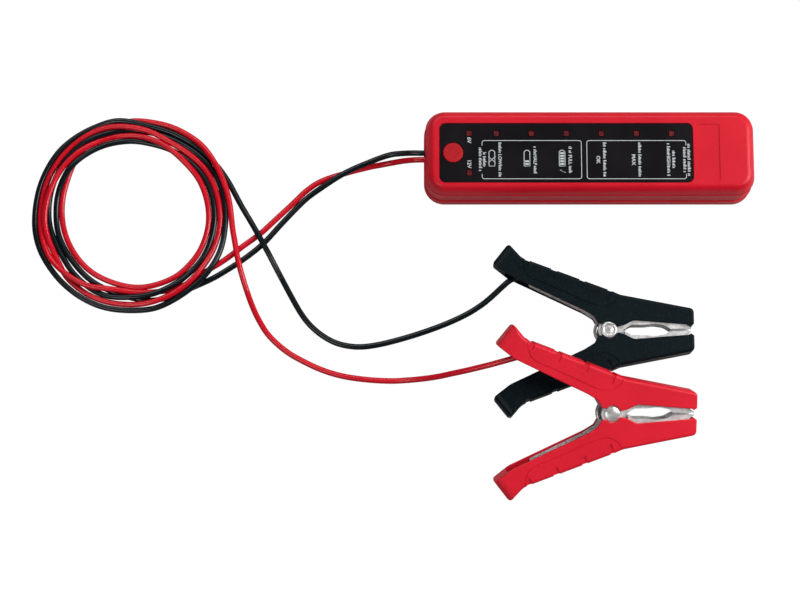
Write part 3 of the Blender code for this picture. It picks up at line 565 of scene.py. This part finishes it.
def turned(profile, centre=(0.0, 0.0), segments=48, sharp=32.0):
    """A solid of revolution about an upright line. The profile is (radius, z) points."""
    x, y = centre
    angles = [2 * math.pi * step / segments for step in range(segments)]
    rings = [[(x + r * math.cos(a), y + r * math.sin(a), z) for a in angles] for r, z in profile]
    return lofted(rings, sharp)


def ribbon(path, width):
    """The outline of a line of some width along a path."""
    points = [Vector(point) for point in path]
    left, right = [], []
    for index, point in enumerate(points):
        ahead = points[min(index + 1, len(points) - 1)] - points[max(index - 1, 0)]
        across = Vector((-ahead.y, ahead.x)).normalized() * (width / 2)
        left.append(point + across)
        right.append(point - across)
    return left + right[::-1]


def smooth_route(route, spacing):
    """Points along a smooth curve through a route, evenly spaced along it."""
    route = np.array(route, float)
    ends = np.vstack([2 * route[0] - route[1], route, 2 * route[-1] - route[-2]])
    shares = np.arange(12)[:, None] / 12
    fine = []
    for a, b, c, d in zip(ends, ends[1:], ends[2:], ends[3:]):
        square, cube = 2 * a - 5 * b + 4 * c - d, 3 * b - a - 3 * c + d
        fine.append(0.5 * (2 * b + (c - a) * shares + square * shares**2 + cube * shares**3))
    fine = np.vstack([*fine, route[-1:]])
    along = np.r_[0.0, np.cumsum(np.linalg.norm(np.diff(fine, axis=0), axis=1))]
    stops = np.linspace(0.0, along[-1], max(2, round(along[-1] / spacing)) + 1)
    return np.stack([np.interp(stops, along, column) for column in fine.T], axis=1)


def linked(name, data):
    thing = bpy.data.objects.new(name, data)
    bpy.context.scene.collection.objects.link(thing)
    return thing


def piece(name, mesh, material, body, replaces=(), at=None):
    """A finished piece: its mesh, its material, the body it moves with and the nodes it stands for."""
    if at is not None:
        mesh.transform(at)
    thing = linked(name, mesh)
    mesh.materials.clear()
    mesh.materials.append(material)
    even = thing.modifiers.new("even_shading", "WEIGHTED_NORMAL")
    even.keep_sharp = True
    if replaces:
        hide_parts(*replaces)
    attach(thing, body)
    return thing


def dress(node, material):
    """Gives a CAD node its own finish."""
    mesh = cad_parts[node].data
    mesh.materials.clear()
    mesh.materials.append(material)


def carved(mesh, cuts=(), adds=()):
    """The mesh with other closed meshes added to it and cut from it."""
    thing = linked("carving", mesh)
    tools = []
    for operation, shapes in (("UNION", adds), ("DIFFERENCE", cuts)):
        for shape in shapes:
            tools.append(linked("tool", shape))
            step = thing.modifiers.new(operation, "BOOLEAN")
            step.operation = operation
            step.solver = "EXACT"
            step.object = tools[-1]
    bpy.context.view_layer.update()
    result = bpy.data.meshes.new_from_object(thing.evaluated_get(bpy.context.evaluated_depsgraph_get()))
    for done in [*tools, thing]:
        bpy.data.objects.remove(done)
    result.shade_smooth()
    result.set_sharp_from_angle(angle=math.radians(32.0))
    return result


def together(meshes):
    """Several separate meshes as one."""
    shape = bmesh.new()
    for mesh in meshes:
        shape.from_mesh(mesh)
    return mesh_of(shape)


def tube(name, points, radius, material, body, replaces=(), at=None, sides=3):
    """A round wire along points in millimetres."""
    curve = bpy.data.curves.new(name, "CURVE")
    curve.dimensions = "3D"
    curve.bevel_depth = radius * MM
    curve.bevel_resolution = sides
    curve.use_fill_caps = True
    spline = curve.splines.new("POLY")
    spline.points.add(len(points) - 1)
    for knot, point in zip(spline.points, points):
        knot.co = (*((at or Matrix()) @ (Vector(point) * MM)), 1.0)
    curve.materials.append(material)
    thing = linked(name, curve)
    if replaces:
        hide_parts(*replaces)
    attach(thing, body)
    return thing


def clamp_frame(colour):
    """The clamp's own frame in the tester's."""
    start, end = (Vector((*point, 0.0)) * MM for point in TILT_LINE)
    turn = Matrix.Rotation(math.radians(CLAMP_TILT[colour]), 4, (end - start).normalized())
    shift = Matrix.Translation(Vector(CLAMP_AT[colour]) * MM)
    return shift @ Matrix.Translation(start) @ turn @ Matrix.Translation(-start)


# ---- leads -------------------------------------------------------------------------------------


def settled(leads, radius, rounds):
    """The leads' points once the coil's turns have sunk onto the floor and onto one another.

    Points outside the coil stay where they are. Overlapping stretches are pushed apart, and a lead
    bends gently over what it crosses.
    """
    start = np.vstack([points for points, _ in leads])
    held = np.concatenate([held for _, held in leads])
    lead = np.concatenate([np.full(len(points), index) for index, (points, _) in enumerate(leads)])
    ends = (lead != np.roll(lead, 1)) | (lead != np.roll(lead, -1))
    still = held | ends
    first, second = np.triu_indices(len(start), OWN_POINTS)
    apart = ~(held[first] & held[second]) & ~((lead[first] == lead[second]) & (second - first < OWN_POINTS))
    first, second = first[apart], second[apart]
    clear = 2 * radius + LEAD_GAP
    now = start.copy()
    for turn in range(rounds):
        if turn % 20 == 0:
            away = now[first] - now[second]
            near = np.nonzero((away**2).sum(1) < (2.5 * clear) ** 2)[0]
            a_all, b_all = first[near], second[near]
        if turn < 0.75 * rounds:
            now[~held, 2] -= SINK
        moved = now - start
        for axis, share in ((0, 1.0), (1, 1.0), (2, 0.5)):
            column = now[:, 2] if axis == 2 else moved[:, axis]
            soft = column.copy()
            soft[1:-1] = (column[:-2] + 2 * column[1:-1] + column[2:]) / 4
            soft = np.where(still, column, column + share * (soft - column))
            now[:, axis] = soft if axis == 2 else start[:, axis] + 0.995 * soft
        for _ in range(3):
            away = now[a_all] - now[b_all]
            distance = np.sqrt((away**2).sum(1)) + 1e-9
            close = distance < clear
            a, b = a_all[close], b_all[close]
            push = away[close] * ((clear - distance[close]) / distance[close] * 0.5)[:, None]
            total, count = np.zeros_like(now), np.zeros(len(now))
            np.add.at(total, a, push * np.where(held[a], 0, np.where(held[b], 2, 1))[:, None])
            np.add.at(total, b, -push * np.where(held[b], 0, np.where(held[a], 2, 1))[:, None])
            np.add.at(count, a, 1)
            np.add.at(count, b, 1)
            now += total / np.maximum(count, 1)[:, None] * 1.2
            now[:, 2] = np.where(held, now[:, 2], np.maximum(now[:, 2], radius + FLOOR_GAP))
    for _ in range(4):
        soft = (np.roll(now, 1, axis=0) + 2 * now + np.roll(now, -1, axis=0)) / 4
        now = np.where(still[:, None], now, soft)
    return [smooth_route(now[lead == index], LEAD_STEP / 2) for index in range(len(leads))]


def lead_route(colour, radius):
    """One lead's whole route before it settles, and which of its points are outside the coil."""
    turns = []
    for degrees, distance, under in LEAD_COIL[colour]:
        angle = math.radians(degrees)
        x = COIL_CENTRE[0] + distance * math.cos(angle)
        y = COIL_CENTRE[1] + distance * math.sin(angle)
        turns.append((x, y, radius + FLOOR_GAP + LAYER_RISE * radius * under))
    before, after = LEAD_FROM_CASE[colour], LEAD_TO_CLAMP[colour]
    points = smooth_route([*before, *turns, *after], LEAD_STEP)
    points[:, 2] = np.maximum(points[:, 2], radius + FLOOR_GAP)
    into = int(np.argmin(np.linalg.norm(points - np.array(before[-1]), axis=1)))
    out = int(np.argmin(np.linalg.norm(points - np.array(after[0]), axis=1)))
    held = np.ones(len(points), bool)
    held[into - FREE_ENDS : out + FREE_ENDS] = False
    return points, held


# ---- operators ---------------------------------------------------------------------------------


class TESTER_OT_stage(bpy.types.Operator):
    """Make the floor, the lights and the camera"""

    bl_idname = "tester.stage"
    bl_label = "Stage"
    bl_options = {"REGISTER", "UNDO"}

    def execute(self, context):
        stage, colours = settings("stage"), settings("colours")
        low, high = (Vector(corner) for corner in CAD_BOX)
        floor = linked("floor", prism(rectangle((FLOOR_SIDE, FLOOR_SIDE), 40.0), -FLOOR_THICK, -FLOOR_GAP))
        finish = Finish("floor_board", {"Roughness": 0.7, "Specular IOR Level": 0.2})
        mottle = finish.noise(30.0, 2.0)
        tone = finish.blended(mottle, shade(colours.floor, 0.97), colours.floor)
        floor.data.materials.append(finish.finished(tone, 0.68 + mottle * 0.04))
        white = {"Color": (1.0, 1.0, 1.0), "Strength": stage.floor_glow}
        glow = finish.node("ShaderNodeEmission", {}, white)
        seen = Signal(finish, finish.node("ShaderNodeLightPath").outputs["Is Camera Ray"])
        both = finish.node(
            "ShaderNodeMixShader", {},
            {"Fac": seen * FLOOR_GLOW_SHARE, 1: finish.shader.outputs[0], 2: glow.outputs[0]},
        )
        finish.feed(finish.tree.nodes["Material Output"].inputs["Surface"], both.outputs[0])
        world = bpy.data.worlds.new("room")
        world.use_nodes = True
        sky = world.node_tree.nodes["Background"]
        sky.inputs["Color"].default_value = (1.0, 1.0, 1.0, 1.0)
        sky.inputs["Strength"].default_value = stage.sky
        bpy.context.scene.world = world
        bpy.context.scene.view_settings.view_transform = "Standard"
        middle = (low + high) / 2
        lamps = {
            "side_light": ((0.80, 0.10, 0.55), (0.4, 0.9), stage.side_light),
            "far_light": ((-0.10, 0.90, 0.85), (1.4, 0.5), stage.top_light),
            "near_light": ((-0.50, -0.55, 0.95), (0.6, 0.4), stage.top_light * 0.55),
        }
        for name, (place, (width, depth), power) in lamps.items():
            light = bpy.data.lights.new(name, "AREA")
            light.shape = "RECTANGLE"
            light.size, light.size_y, light.energy = width, depth, power
            lamp = linked(name, light)
            lamp.location = middle + Vector(place)
            lamp.rotation_euler = (-Vector(place)).to_track_quat("-Z", "Y").to_euler()
        camera = bpy.data.cameras.new("camera")
        camera.lens, camera.sensor_width = stage.lens, SENSOR_WIDTH
        eye = linked("camera", camera)
        look_at = Vector(LOOK_AT) * MM
        back = Vector((0.0, -math.cos(stage.elevation), math.sin(stage.elevation)))
        eye.location = look_at + back * stage.distance
        eye.rotation_euler = (math.pi / 2 - stage.elevation, 0.0, 0.0)
        bpy.context.scene.camera = eye
        return {"FINISHED"}


class TESTER_OT_leads(bpy.types.Operator):
    """Lay both leads, from the case through the coil to the clamps"""

    bl_idname = "tester.leads"
    bl_label = "Leads"
    bl_options = {"REGISTER", "UNDO"}

    def execute(self, context):
        lead, colours = settings("leads"), settings("colours")
        radius = lead.diameter / MM / 2
        names = ("black", "red")
        routes = settled([lead_route(colour, radius) for colour in names], radius, lead.settling)
        coil = {"black": (), "red": ("lead_coil",)}
        for colour, route in zip(names, routes):
            finish = insulation(f"{colour}_insulation", getattr(colours, f"{colour}_lead"))
            stretches = (f"{colour}_lead_from_case", f"{colour}_lead_to_clamp", *coil[colour])
            wire = tube(
                f"{colour}_lead", route, radius, finish, "tester", stretches, sides=5
            )
        return {"FINISHED"}


class TESTER_OT_case(bpy.types.Operator):
    """Mould the case's two covers"""

    bl_idname = "tester.case"
    bl_label = "Case"
    bl_options = {"REGISTER", "UNDO"}

    def ring(self, inset, z):
        size = (CASE_LENGTH - 2 * inset, CASE_WIDTH - 2 * inset)
        outline = rectangle(size, max(CASE_CORNER - inset, 1.0), CASE_MIDDLE, 14)
        return [(*point, z) for point in outline]

    def corners(self):
        x, y = BOSS_AT
        return [(x, y), (-x, y), (-x, -y), (x, -y)]

    def execute(self, context):
        case = settings("case")
        finish = moulded("case_plastic", settings("colours").case, 0.45, 0.045, 0.40, 0.12)
        self.build_base(finish)
        wall = CASE_WALL
        shoulder, across, up = case.shoulder / MM, case.edge_across / MM, case.edge_up / MM
        profile = [(4.6, 22.0), (3.3, 21.3), (2.4, 19.8), (wall, 17.4), (wall, 8.0)]
        profile += [(0.15, 8.0), (0.0, 8.15), (0.0, shoulder - 0.12), (0.06, shoulder)]
        profile += [(0.40, shoulder + 0.22)]
        for step in range(1, 19):
            angle = math.radians(5 * step)
            rise = CASE_HEIGHT - up + up * math.sin(angle)
            profile.append((0.4 + across * (1 - math.cos(angle)), rise))
        shell = lofted([self.ring(TOP_INSET + inset, z) for inset, z in profile])
        pillars = [turned([(3.0, 8.0), (3.0, 22.6)], at, 28) for at in self.corners()]
        pilots = [turned([(1.4, 6.0), (1.4, 16.0)], at, 20) for at in self.corners()]
        pocket = (LABEL_SIZE[0] + 2 * GAP, LABEL_SIZE[1] + 2 * GAP)
        middle, half, top = NOTCH_MIDDLE, NOTCH_HALF, NOTCH_TOP
        notch = rounded(
            [(middle - half, 7.0, 0.0), (middle + half, 7.0, 0.0), (middle + half, top, 1.5),
             (middle - half, top, 1.5)]
        )
        cuts = [
            prism(rectangle(pocket, 2.8, LABEL_AT), POCKET_FLOOR, 26.0),
            prism(rectangle(PLATE_SIZE, 0.8, PLATE_AT), CASE_HEIGHT - case.plate_depth / MM, 26.0),
            prism(notch, -75.0, -68.0, along_x=True),
            together(pilots),
            windows(20.0, POCKET_FLOOR + 1.0),
        ]
        cover = carved(shell, cuts, [together(pillars)])
        piece("case_top", cover, finish, "tester", ["top_cover"])
        return {"FINISHED"}

    def build_base(self, finish):
        wall = CASE_WALL
        profile = [(1.9, 0.0), (1.2, 0.1), (0.6, 0.45), (0.2, 1.0), (0.0, 1.9), (0.0, BASE_RIM - 0.25)]
        profile += [(0.08, BASE_RIM - 0.07), (0.25, BASE_RIM)]
        profile += [(wall, BASE_RIM), (wall, 3.2), (wall + 0.9, 2.0)]
        shell = lofted([self.ring(*ring) for ring in profile])
        pillars = [turned([(3.0, 1.0), (3.0, BASE_RIM)], at, 28) for at in self.corners()]
        screw_room = [(2.9, -1.0), (2.9, 0.0), (2.5, 0.4), (2.5, 4.2), (1.5, 4.2), (1.5, 9.0)]
        bores = [turned(screw_room, at, 28) for at in self.corners()]
        saddle = prism(rectangle((4.0, 14.6), 0.4, (-67.5, NOTCH_MIDDLE)), 1.0, 8.0)
        pilots = [turned([(1.3, 3.0), (1.3, 9.0)], (-67.5, y), 20) for y in (-3.8, 6.2)]
        foot = rectangle((92.0, 20.0), 3.0)
        cuts = [together(bores), together(pilots), prism(foot, -1.0, 0.25)]
        cover = carved(shell, cuts, [together(pillars), saddle])
        piece("case_base", cover, finish, "tester", ["base_cover"])


def windows(low, high):
    """The button's round hole and the lamps' square windows, as one cutter."""
    radius, side = BUTTON_RADIUS + GAP, LAMP_SIDE + 2 * GAP
    shapes = [turned([(radius, low), (radius, high)], BUTTON_AT, 64)]
    shapes += [prism(rectangle((side, side), 0.3, at), low, high) for _, at in LAMPS]
    return together(shapes)


class TESTER_OT_face(bpy.types.Operator):
    """Make the label with its print, the button and the lamps"""

    bl_idname = "tester.face"
    bl_label = "Face"
    bl_options = {"REGISTER", "UNDO"}

    def execute(self, context):
        colours = settings("colours")
        label = prism(rectangle(LABEL_SIZE, 2.5, LABEL_AT), LABEL_LOW, LABEL_TOP)
        label = carved(label, [windows(LABEL_LOW - 1.0, LABEL_TOP + 1.0)])
        film = label_film("label_film", colours.label)
        piece("label", label, film, "tester", ["fascia_label"])
        ink = print_ink("label_ink", colours.print)
        signs = together(self.frames() + self.batteries() + self.bars())
        piece("label_print", signs, ink, "tester")
        piece("label_words", together(self.words()), ink, "tester")
        low, high = BUTTON_FLANGE
        radius, flange = BUTTON_RADIUS, BUTTON_RADIUS + 1.2
        profile = [(flange - 0.3, low), (flange, low + 0.2), (flange, high - 0.2), (flange - 0.2, high)]
        profile += [(radius, high), (radius, BUTTON_TOP - 0.3)]
        for degrees in (30, 60, 90):
            angle = math.radians(degrees)
            profile.append((radius - 0.3 * (1 - math.cos(angle)), BUTTON_TOP - 0.3 * (1 - math.sin(angle))))
        profile += [(radius - 1.2, BUTTON_TOP - 0.02), (0.4, BUTTON_TOP - 0.03)]
        cap = turned(profile, BUTTON_AT, 72)
        finish = moulded("button_plastic", colours.button, 0.3, 0.012, 0.48, 0.06, 0.3)
        piece("button_cap", cap, finish, "test_button", ["test_button"])
        for name, _ in LAMPS:
            dress(name, lamp_window(f"{name}_window", colours.lamp))
        return {"FINISHED"}

    def raised(self, outline):
        return prism(outline, LABEL_TOP, LABEL_TOP + settings("case").print_height / MM)

    def line(self, path, width=None):
        return self.raised(ribbon(path, width or settings("case").print_line / MM))

    def frames(self):
        """Two open frames, one round the charge states and one round the charging states."""
        top, bottom, turn, reach = 4.9, -12.3, 1.0, 2.2
        shapes = []
        for closed, opening in ((-4.1, -47.7), (-1.7, 41.8)):
            side = math.copysign(1.0, closed - opening)
            near, far = turn, abs(closed - opening) - turn
            corners = ((180, near, top - turn), (90, far, top - turn))
            corners += ((0, far, bottom + turn), (-90, near, bottom + turn))
            path = [Vector((0.0, top - reach))]
            for degrees, x, y in corners:
                path += arc(turn, degrees, degrees - 90, 6, (x, y))
            path.append(Vector((0.0, bottom + reach)))
            shapes.append(self.line([(opening + side * point.x, point.y) for point in path]))
        return shapes

    def batteries(self):
        """Three upright battery signs: crossed out, half full and full with a tick."""
        shapes = []
        bottom, top, half = -6.6, 1.1, 1.25
        for x, kind in ((-43.4, "low"), (-28.0, "half"), (-12.6, "full")):
            body = [(x - half, bottom), (x + half, bottom), (x + half, top - 1.2)]
            body += [tuple(p) for p in arc(half, 30, 150, 6, (x, top - 1.8))]
            body += [(x - half, top - 1.2), (x - half, bottom + 0.02)]
            shapes.append(self.line(body, 0.3))
            cells = {"low": 0, "half": 2, "full": 5}[kind]
            for index in range(cells):
                centre = (x, bottom + 0.95 + 1.22 * index)
                shapes.append(self.raised(rectangle((1.7, 0.75), 0.1, centre, 1)))
            if kind == "low":
                shapes.append(self.line([(x - 1.6, bottom + 1.4), (x + 1.6, bottom + 4.4)], 0.26))
                shapes.append(self.line([(x - 1.6, bottom + 4.4), (x + 1.6, bottom + 1.4)], 0.26))
            if kind == "full":
                tick = [(x - 0.2, bottom - 1.2), (x - 1.0, bottom - 1.7), (x + 1.4, bottom - 2.9)]
                shapes.append(self.line(tick, 0.28))
        return shapes

    def bars(self):
        """Rows of plain ticks beside the words, in place of small print."""
        shapes = []
        rows = ((-39.9, 4.0, -0.9), (-39.9, -6.2, -11.4), (-24.5, 2.2, -0.8), (-24.5, -6.6, -9.6))
        rows += ((-9.1, 2.2, -0.8), (-9.1, -6.6, -9.6), (6.0, 4.0, -11.5), (21.4, 4.0, -11.5))
        rows += ((36.3, 0.3, -7.2), (34.0, 3.6, -0.6), (34.0, -6.4, -10.6), (-46.7, -0.4, -7.0))
        rows += ((-48.5, 1.7, -9.0), (43.0, 3.4, -11.0), (41.1, 1.9, -9.2))
        runs, widths = (0.46, 0.30, 0.62, 0.34, 0.50, 0.26, 0.42), (1.25, 0.95, 1.05, 1.45, 0.95)
        tick_gap, word_gap = 0.27, 0.85
        for row, (x, first, last) in enumerate(rows):
            y, index = first, 3 * row
            while y > last:
                run, width = runs[index % 7], widths[index % 5]
                centre = (x + (width - 1.2) / 2, y - run / 2)
                shapes.append(self.raised(rectangle((width, run), 0.05, centre, 1)))
                y -= run + (word_gap if index % 7 == 6 else tick_gap)
                index += 1
        return shapes

    def words(self):
        """Generic words beside the lamps, read with the leads' end on the left hand."""
        height = 1.45
        capital = 0.7  # height of a capital letter at size one
        entries = (
            ("6V", -53.4, 5.1, 1.7), ("12V", -53.4, -5.6, 1.7), ("LOW", -39.9, -3.6, height),
            ("HALF", -24.5, -3.7, height), ("FULL", -9.1, -3.7, height), ("OK", 3.2, -3.7, 1.6),
            ("MAX", 18.7, -3.7, 1.6), ("HIGH", 34.0, -3.5, height),
        )
        shapes = []
        for text, x, y, tall in entries:
            curve = bpy.data.curves.new(text, "FONT")
            curve.body = text
            curve.size = tall * MM / capital
            curve.extrude = settings("case").print_height / 2
            curve.offset = 0.04 * MM
            curve.align_x, curve.align_y = "CENTER", "CENTER"
            curve.resolution_u = 3
            turn = Matrix.Rotation(-math.pi / 2, 4, "Z")
            rise = LABEL_TOP + settings("case").print_height / MM / 2
            word = linked("word", curve)
            bpy.context.view_layer.update()
            seen = word.evaluated_get(bpy.context.evaluated_depsgraph_get())
            mesh = bpy.data.meshes.new_from_object(seen)
            mesh.transform(Matrix.Translation(Vector((x, y, rise)) * MM) @ turn)
            shapes.append(mesh)
            bpy.data.objects.remove(word)
        return shapes


class TESTER_OT_clamps(bpy.types.Operator):
    """Make both clamps: handles, jaws, rivets and springs"""

    bl_idname = "tester.clamps"
    bl_label = "Clamps"
    bl_options = {"REGISTER", "UNDO"}

    def execute(self, context):
        colours = settings("colours")
        soft = {
            "red": moulded("red_grip_plastic", colours.red_grip, 0.5, 0.035, 0.46, 0.10, 0.32),
            "black": moulded("black_grip_plastic", colours.black_grip, 0.5, 0.03, 0.42, 0.10, 0.13),
        }
        metal = plated("jaw_plating", colours.plating, 0.3, 0.5, 0.02, 0.4)
        bright = plated("rivet_plating", colours.plating, 0.26, 0.08, 0.002, 0.6)
        steel = plated("spring_steel", (0.60, 0.60, 0.60), 0.22, 0.2, 0.008)
        tin = plated("crimp_tin", (0.58, 0.56, 0.52), 0.34, 0.3, 0.02)
        for colour in ("black", "red"):
            at = clamp_frame(colour)
            bodies = {"upper": "tester", "lower": f"{colour}_clamp_half"}
            for half, body in bodies.items():
                name = f"{colour}_clamp_{half}"
                shape = self.grip(half == "lower")
                piece(f"{name}_handle", shape, soft[colour], body, [f"{name}_grip"], at)
                dress(f"{name}_jaw", metal)
            dress(f"{colour}_clamp_crimp", tin)
            rivet = self.rivet(colour)
            name = f"{colour}_clamp_rivet"
            piece(f"{name}_head", rivet, bright, "tester", [name], at)
            self.spring(colour, steel, at, bodies)
        return {"FINISHED"}

    def grip(self, lower):
        """One handle: an outline whose edges are rounded more outside than inside, then hollowed."""
        edges = settings("clamps")
        side = mirrored if lower else list
        corners = [*GRIP_CORNERS]
        corners += [(*point, 0.0, 0.4) for point in arc(RIVET_ROOM, 142, 22, 16)]
        corners += GRIP_LENS
        inner, outer = edges.inner_edge / MM / 0.5, edges.outer_edge / MM / 1.5
        corners = [(x, y, r, edge * (outer if edge > 1.0 else inner)) for x, y, r, edge in corners]
        quarter = [math.radians(15 * step) for step in range(7)]
        low = [self.grip_ring(corners, math.pi / 2 - angle, side) for angle in quarter]
        high = [[(x, y, CLAMP_THICK - z) for x, y, z in ring] for ring in reversed(low)]
        return carved(lofted(low + high), self.grip_cuts(side))

    def grip_ring(self, corners, angle, side):
        """The outline drawn in by each edge's rounding, at one angle round its quarter circle."""
        moved, heights = [], []
        for index, (x, y, radius, edge) in enumerate(corners):
            here = Vector((x, y))
            before = here - Vector(corners[index - 1][:2])
            after = Vector(corners[(index + 1) % len(corners)][:2]) - here
            first, last = (Vector((-way.y, way.x)).normalized() for way in (before, after))
            share = 1 - math.cos(angle)
            in_first, in_last = corners[index - 1][3] * share, edge * share
            cross = first.x * last.y - first.y * last.x
            if abs(cross) < 0.05:
                shift = (first + last).normalized() * (in_first + in_last) / 2
            else:
                across = in_last * first.x - in_first * last.x
                shift = Vector((in_first * last.y - in_last * first.y, across)) / cross
            hollow = before.x * after.y - before.y * after.x < 0
            drawn = max(in_first, in_last)
            kept = radius + drawn if hollow else max(radius - drawn, 0.12)
            moved.append((*(here + shift), kept if radius > 0 else 0.0))
            heights.append((corners[index - 1][3] + edge) / 2 * (1 - math.sin(angle)))
        counts = [len(rounded_corner(moved, index)) for index in range(len(moved))]
        rise = [height for height, count in zip(heights, counts) for _ in range(count)]
        return [(*point, z) for point, z in zip(side(rounded(moved)), rise)]

    def grip_cuts(self, side):
        clamp = settings("clamps")
        top = CLAMP_THICK
        depth, groove = clamp.notch_depth / MM, clamp.groove_depth / MM
        cuts = [prism(side(rounded(GRIP_HOLLOW)), GRIP_SIDE, top - GRIP_SIDE)]
        start, end = (Vector(point) for point in PAD_EDGE)
        along = (end - start).normalized()
        out = Vector((-along.y, along.x))
        face = 0.8 * depth
        for x_from, x_to, reach in PAD_NOTCHES:
            jaws = [(2.0, -1.0), (2.0, top + 1.0), (-reach, top + 1.0), (-reach, top - face)]
            jaws += [(-depth, top - face), (-depth, face), (-reach, face), (-reach, -1.0)]
            rings = []
            for x in (x_from, x_to):
                foot = start + along * ((x - start.x) / along.x)
                flat = side([foot + out * away for away, _ in jaws])
                rings.append([(*point, z) for point, (_, z) in zip(flat, jaws)])
            cuts.append(lofted(rings))
        path = [point[:2] for point in smooth_route([(*point, 0.0) for point in PAD_GROOVE], 0.8)]
        line = ribbon(path, clamp.groove_width / MM)
        for low, high in ((top - groove, top + 1.0), (-1.0, groove)):
            cuts.append(prism(side(line), low, high))
        return cuts

    def rivet(self, colour):
        bottom, top = OUTER_PLATE - GAP, CLAMP_THICK - OUTER_PLATE + GAP
        angles = [math.radians(degrees) for degrees in range(6, 90, 7)]
        dome = [(RIVET_HEAD * math.sin(a), bottom - math.cos(a)) for a in angles]
        shank = [(RIVET_HEAD, bottom), (1.6, bottom), (1.6, top), (RIVET_HEAD, top)]
        if colour == "red":
            head = [(r, CLAMP_THICK - z) for r, z in reversed(dome)]
        else:
            head = [(3.5, top + 0.3), (3.42, top + 0.55), (3.2, top + 0.72), (2.9, top + 0.78)]
            head += [(2.45, top + 0.78), (2.25, top + 0.7), (2.15, top + 0.45), (2.0, top + 0.3)]
            head += [(1.8, top + 0.32), (1.2, top + 0.48), (0.6, top + 0.56), (0.2, top + 0.58)]
        return turned(dome + shank + head, segments=64, sharp=50.0)

    def spring(self, colour, finish, at, bodies):
        """A coil and leg held by the fixed half, and a second leg that moves with the other half."""
        end = Vector(SPRING_LEG_END)
        wire = settings("clamps").spring_wire / MM
        middle = CLAMP_THICK / 2
        leave = math.atan2(end.y, end.x) - math.acos(SPRING_RADIUS / end.length)
        sweep = 2 * leave + 2 * math.pi * SPRING_TURNS
        climb = SPRING_PITCH / (2 * math.pi)

        def on_coil(turn):
            angle = turn - leave
            z = middle + climb * (turn - sweep / 2)
            return (SPRING_RADIUS * math.cos(angle), SPRING_RADIUS * math.sin(angle), z)

        steps = 120
        coil = [on_coil(sweep * step / steps) for step in range(steps + 1)]
        coil.append((end.x, end.y, coil[-1][2]))
        tucked = [on_coil(0.45 * step / 6) for step in range(7)][::-1]
        leg = [(x * 0.998, y * 0.998, z) for x, y, z in tucked] + [(end.x, -end.y, coil[0][2])]
        name = f"{colour}_clamp_spring"
        tube(f"{name}_coil", coil, wire, finish, bodies["upper"], [name], at, 4)
        tube(f"{name}_leg", leg, wire * 0.985, finish, bodies["lower"], (), at, 4)


class TESTER_OT_inside(bpy.types.Operator):
    """Finish the board, its parts and the screws inside the case"""

    bl_idname = "tester.inside"
    bl_label = "Inside"
    bl_options = {"REGISTER", "UNDO"}

    def execute(self, context):
        chip = cast_block("chip_epoxy", (0.014, 0.014, 0.015), 0.12, 0.55)
        ceramic = cast_block("resistor_ceramic", (0.68, 0.66, 0.60), 0.25, 0.62)
        nylon = cast_block("clamp_nylon", (0.70, 0.69, 0.65), 0.4, 0.5)
        screw = plated("screw_steel", (0.52, 0.52, 0.50), 0.28, 0.3, 0.015)
        can = plated("capacitor_can", (0.66, 0.66, 0.66), 0.22, 0.1, 0.008)
        finishes = {
            "circuit_board": circuit_film("board_mask"),
            "tact_switch": chip, "microcontroller": chip, "voltage_regulator": chip,
            "protection_diode": chip, "load_resistor": ceramic, "cable_clamp": nylon, "capacitor": can,
        }
        finishes.update({f"case_screw_{n}": screw for n in range(1, 5)})
        finishes.update({f"clamp_screw_{n}": screw for n in range(1, 3)})
        for node, finish in finishes.items():
            dress(node, finish)
        return {"FINISHED"}


class TESTER_PT_panel(bpy.types.Panel):
    """Settings and steps of the battery tester"""

    bl_idname = "TESTER_PT_panel"
    bl_label = "Battery tester"
    bl_space_type = "VIEW_3D"
    bl_region_type = "UI"
    bl_category = "Tester"

    def draw(self, context):
        for title, group in GROUPS.items():
            box = self.layout.box()
            box.label(text=title.title())
            for name in group.__annotations__:
                box.prop(settings(title), name)
        for step in STEPS:
            self.layout.operator(step.bl_idname)


GROUPS = {
    "case": TesterCaseSettings,
    "leads": TesterLeadSettings,
    "clamps": TesterClampSettings,
    "colours": TesterColourSettings,
    "stage": TesterStageSettings,
}
STEPS = (
    TESTER_OT_stage, TESTER_OT_leads, TESTER_OT_case, TESTER_OT_face, TESTER_OT_clamps, TESTER_OT_inside,
)


def register():
    for group in (*GROUPS.values(), *STEPS, TESTER_PT_panel):
        bpy.utils.register_class(group)
    for name, group in GROUPS.items():
        setattr(bpy.types.Scene, f"tester_{name}", PointerProperty(type=group))


def unregister():
    for name in GROUPS:
        delattr(bpy.types.Scene, f"tester_{name}")
    for group in (TESTER_PT_panel, *reversed(STEPS), *reversed(GROUPS.values())):
        bpy.utils.unregister_class(group)


def main():
    register()
    bpy.ops.tester.stage()
    bpy.ops.tester.leads()
    bpy.ops.tester.case()
    bpy.ops.tester.face()
    bpy.ops.tester.clamps()
    bpy.ops.tester.inside()
    bpy.context.view_layer.update()


if __name__ == "__main__":
    main()
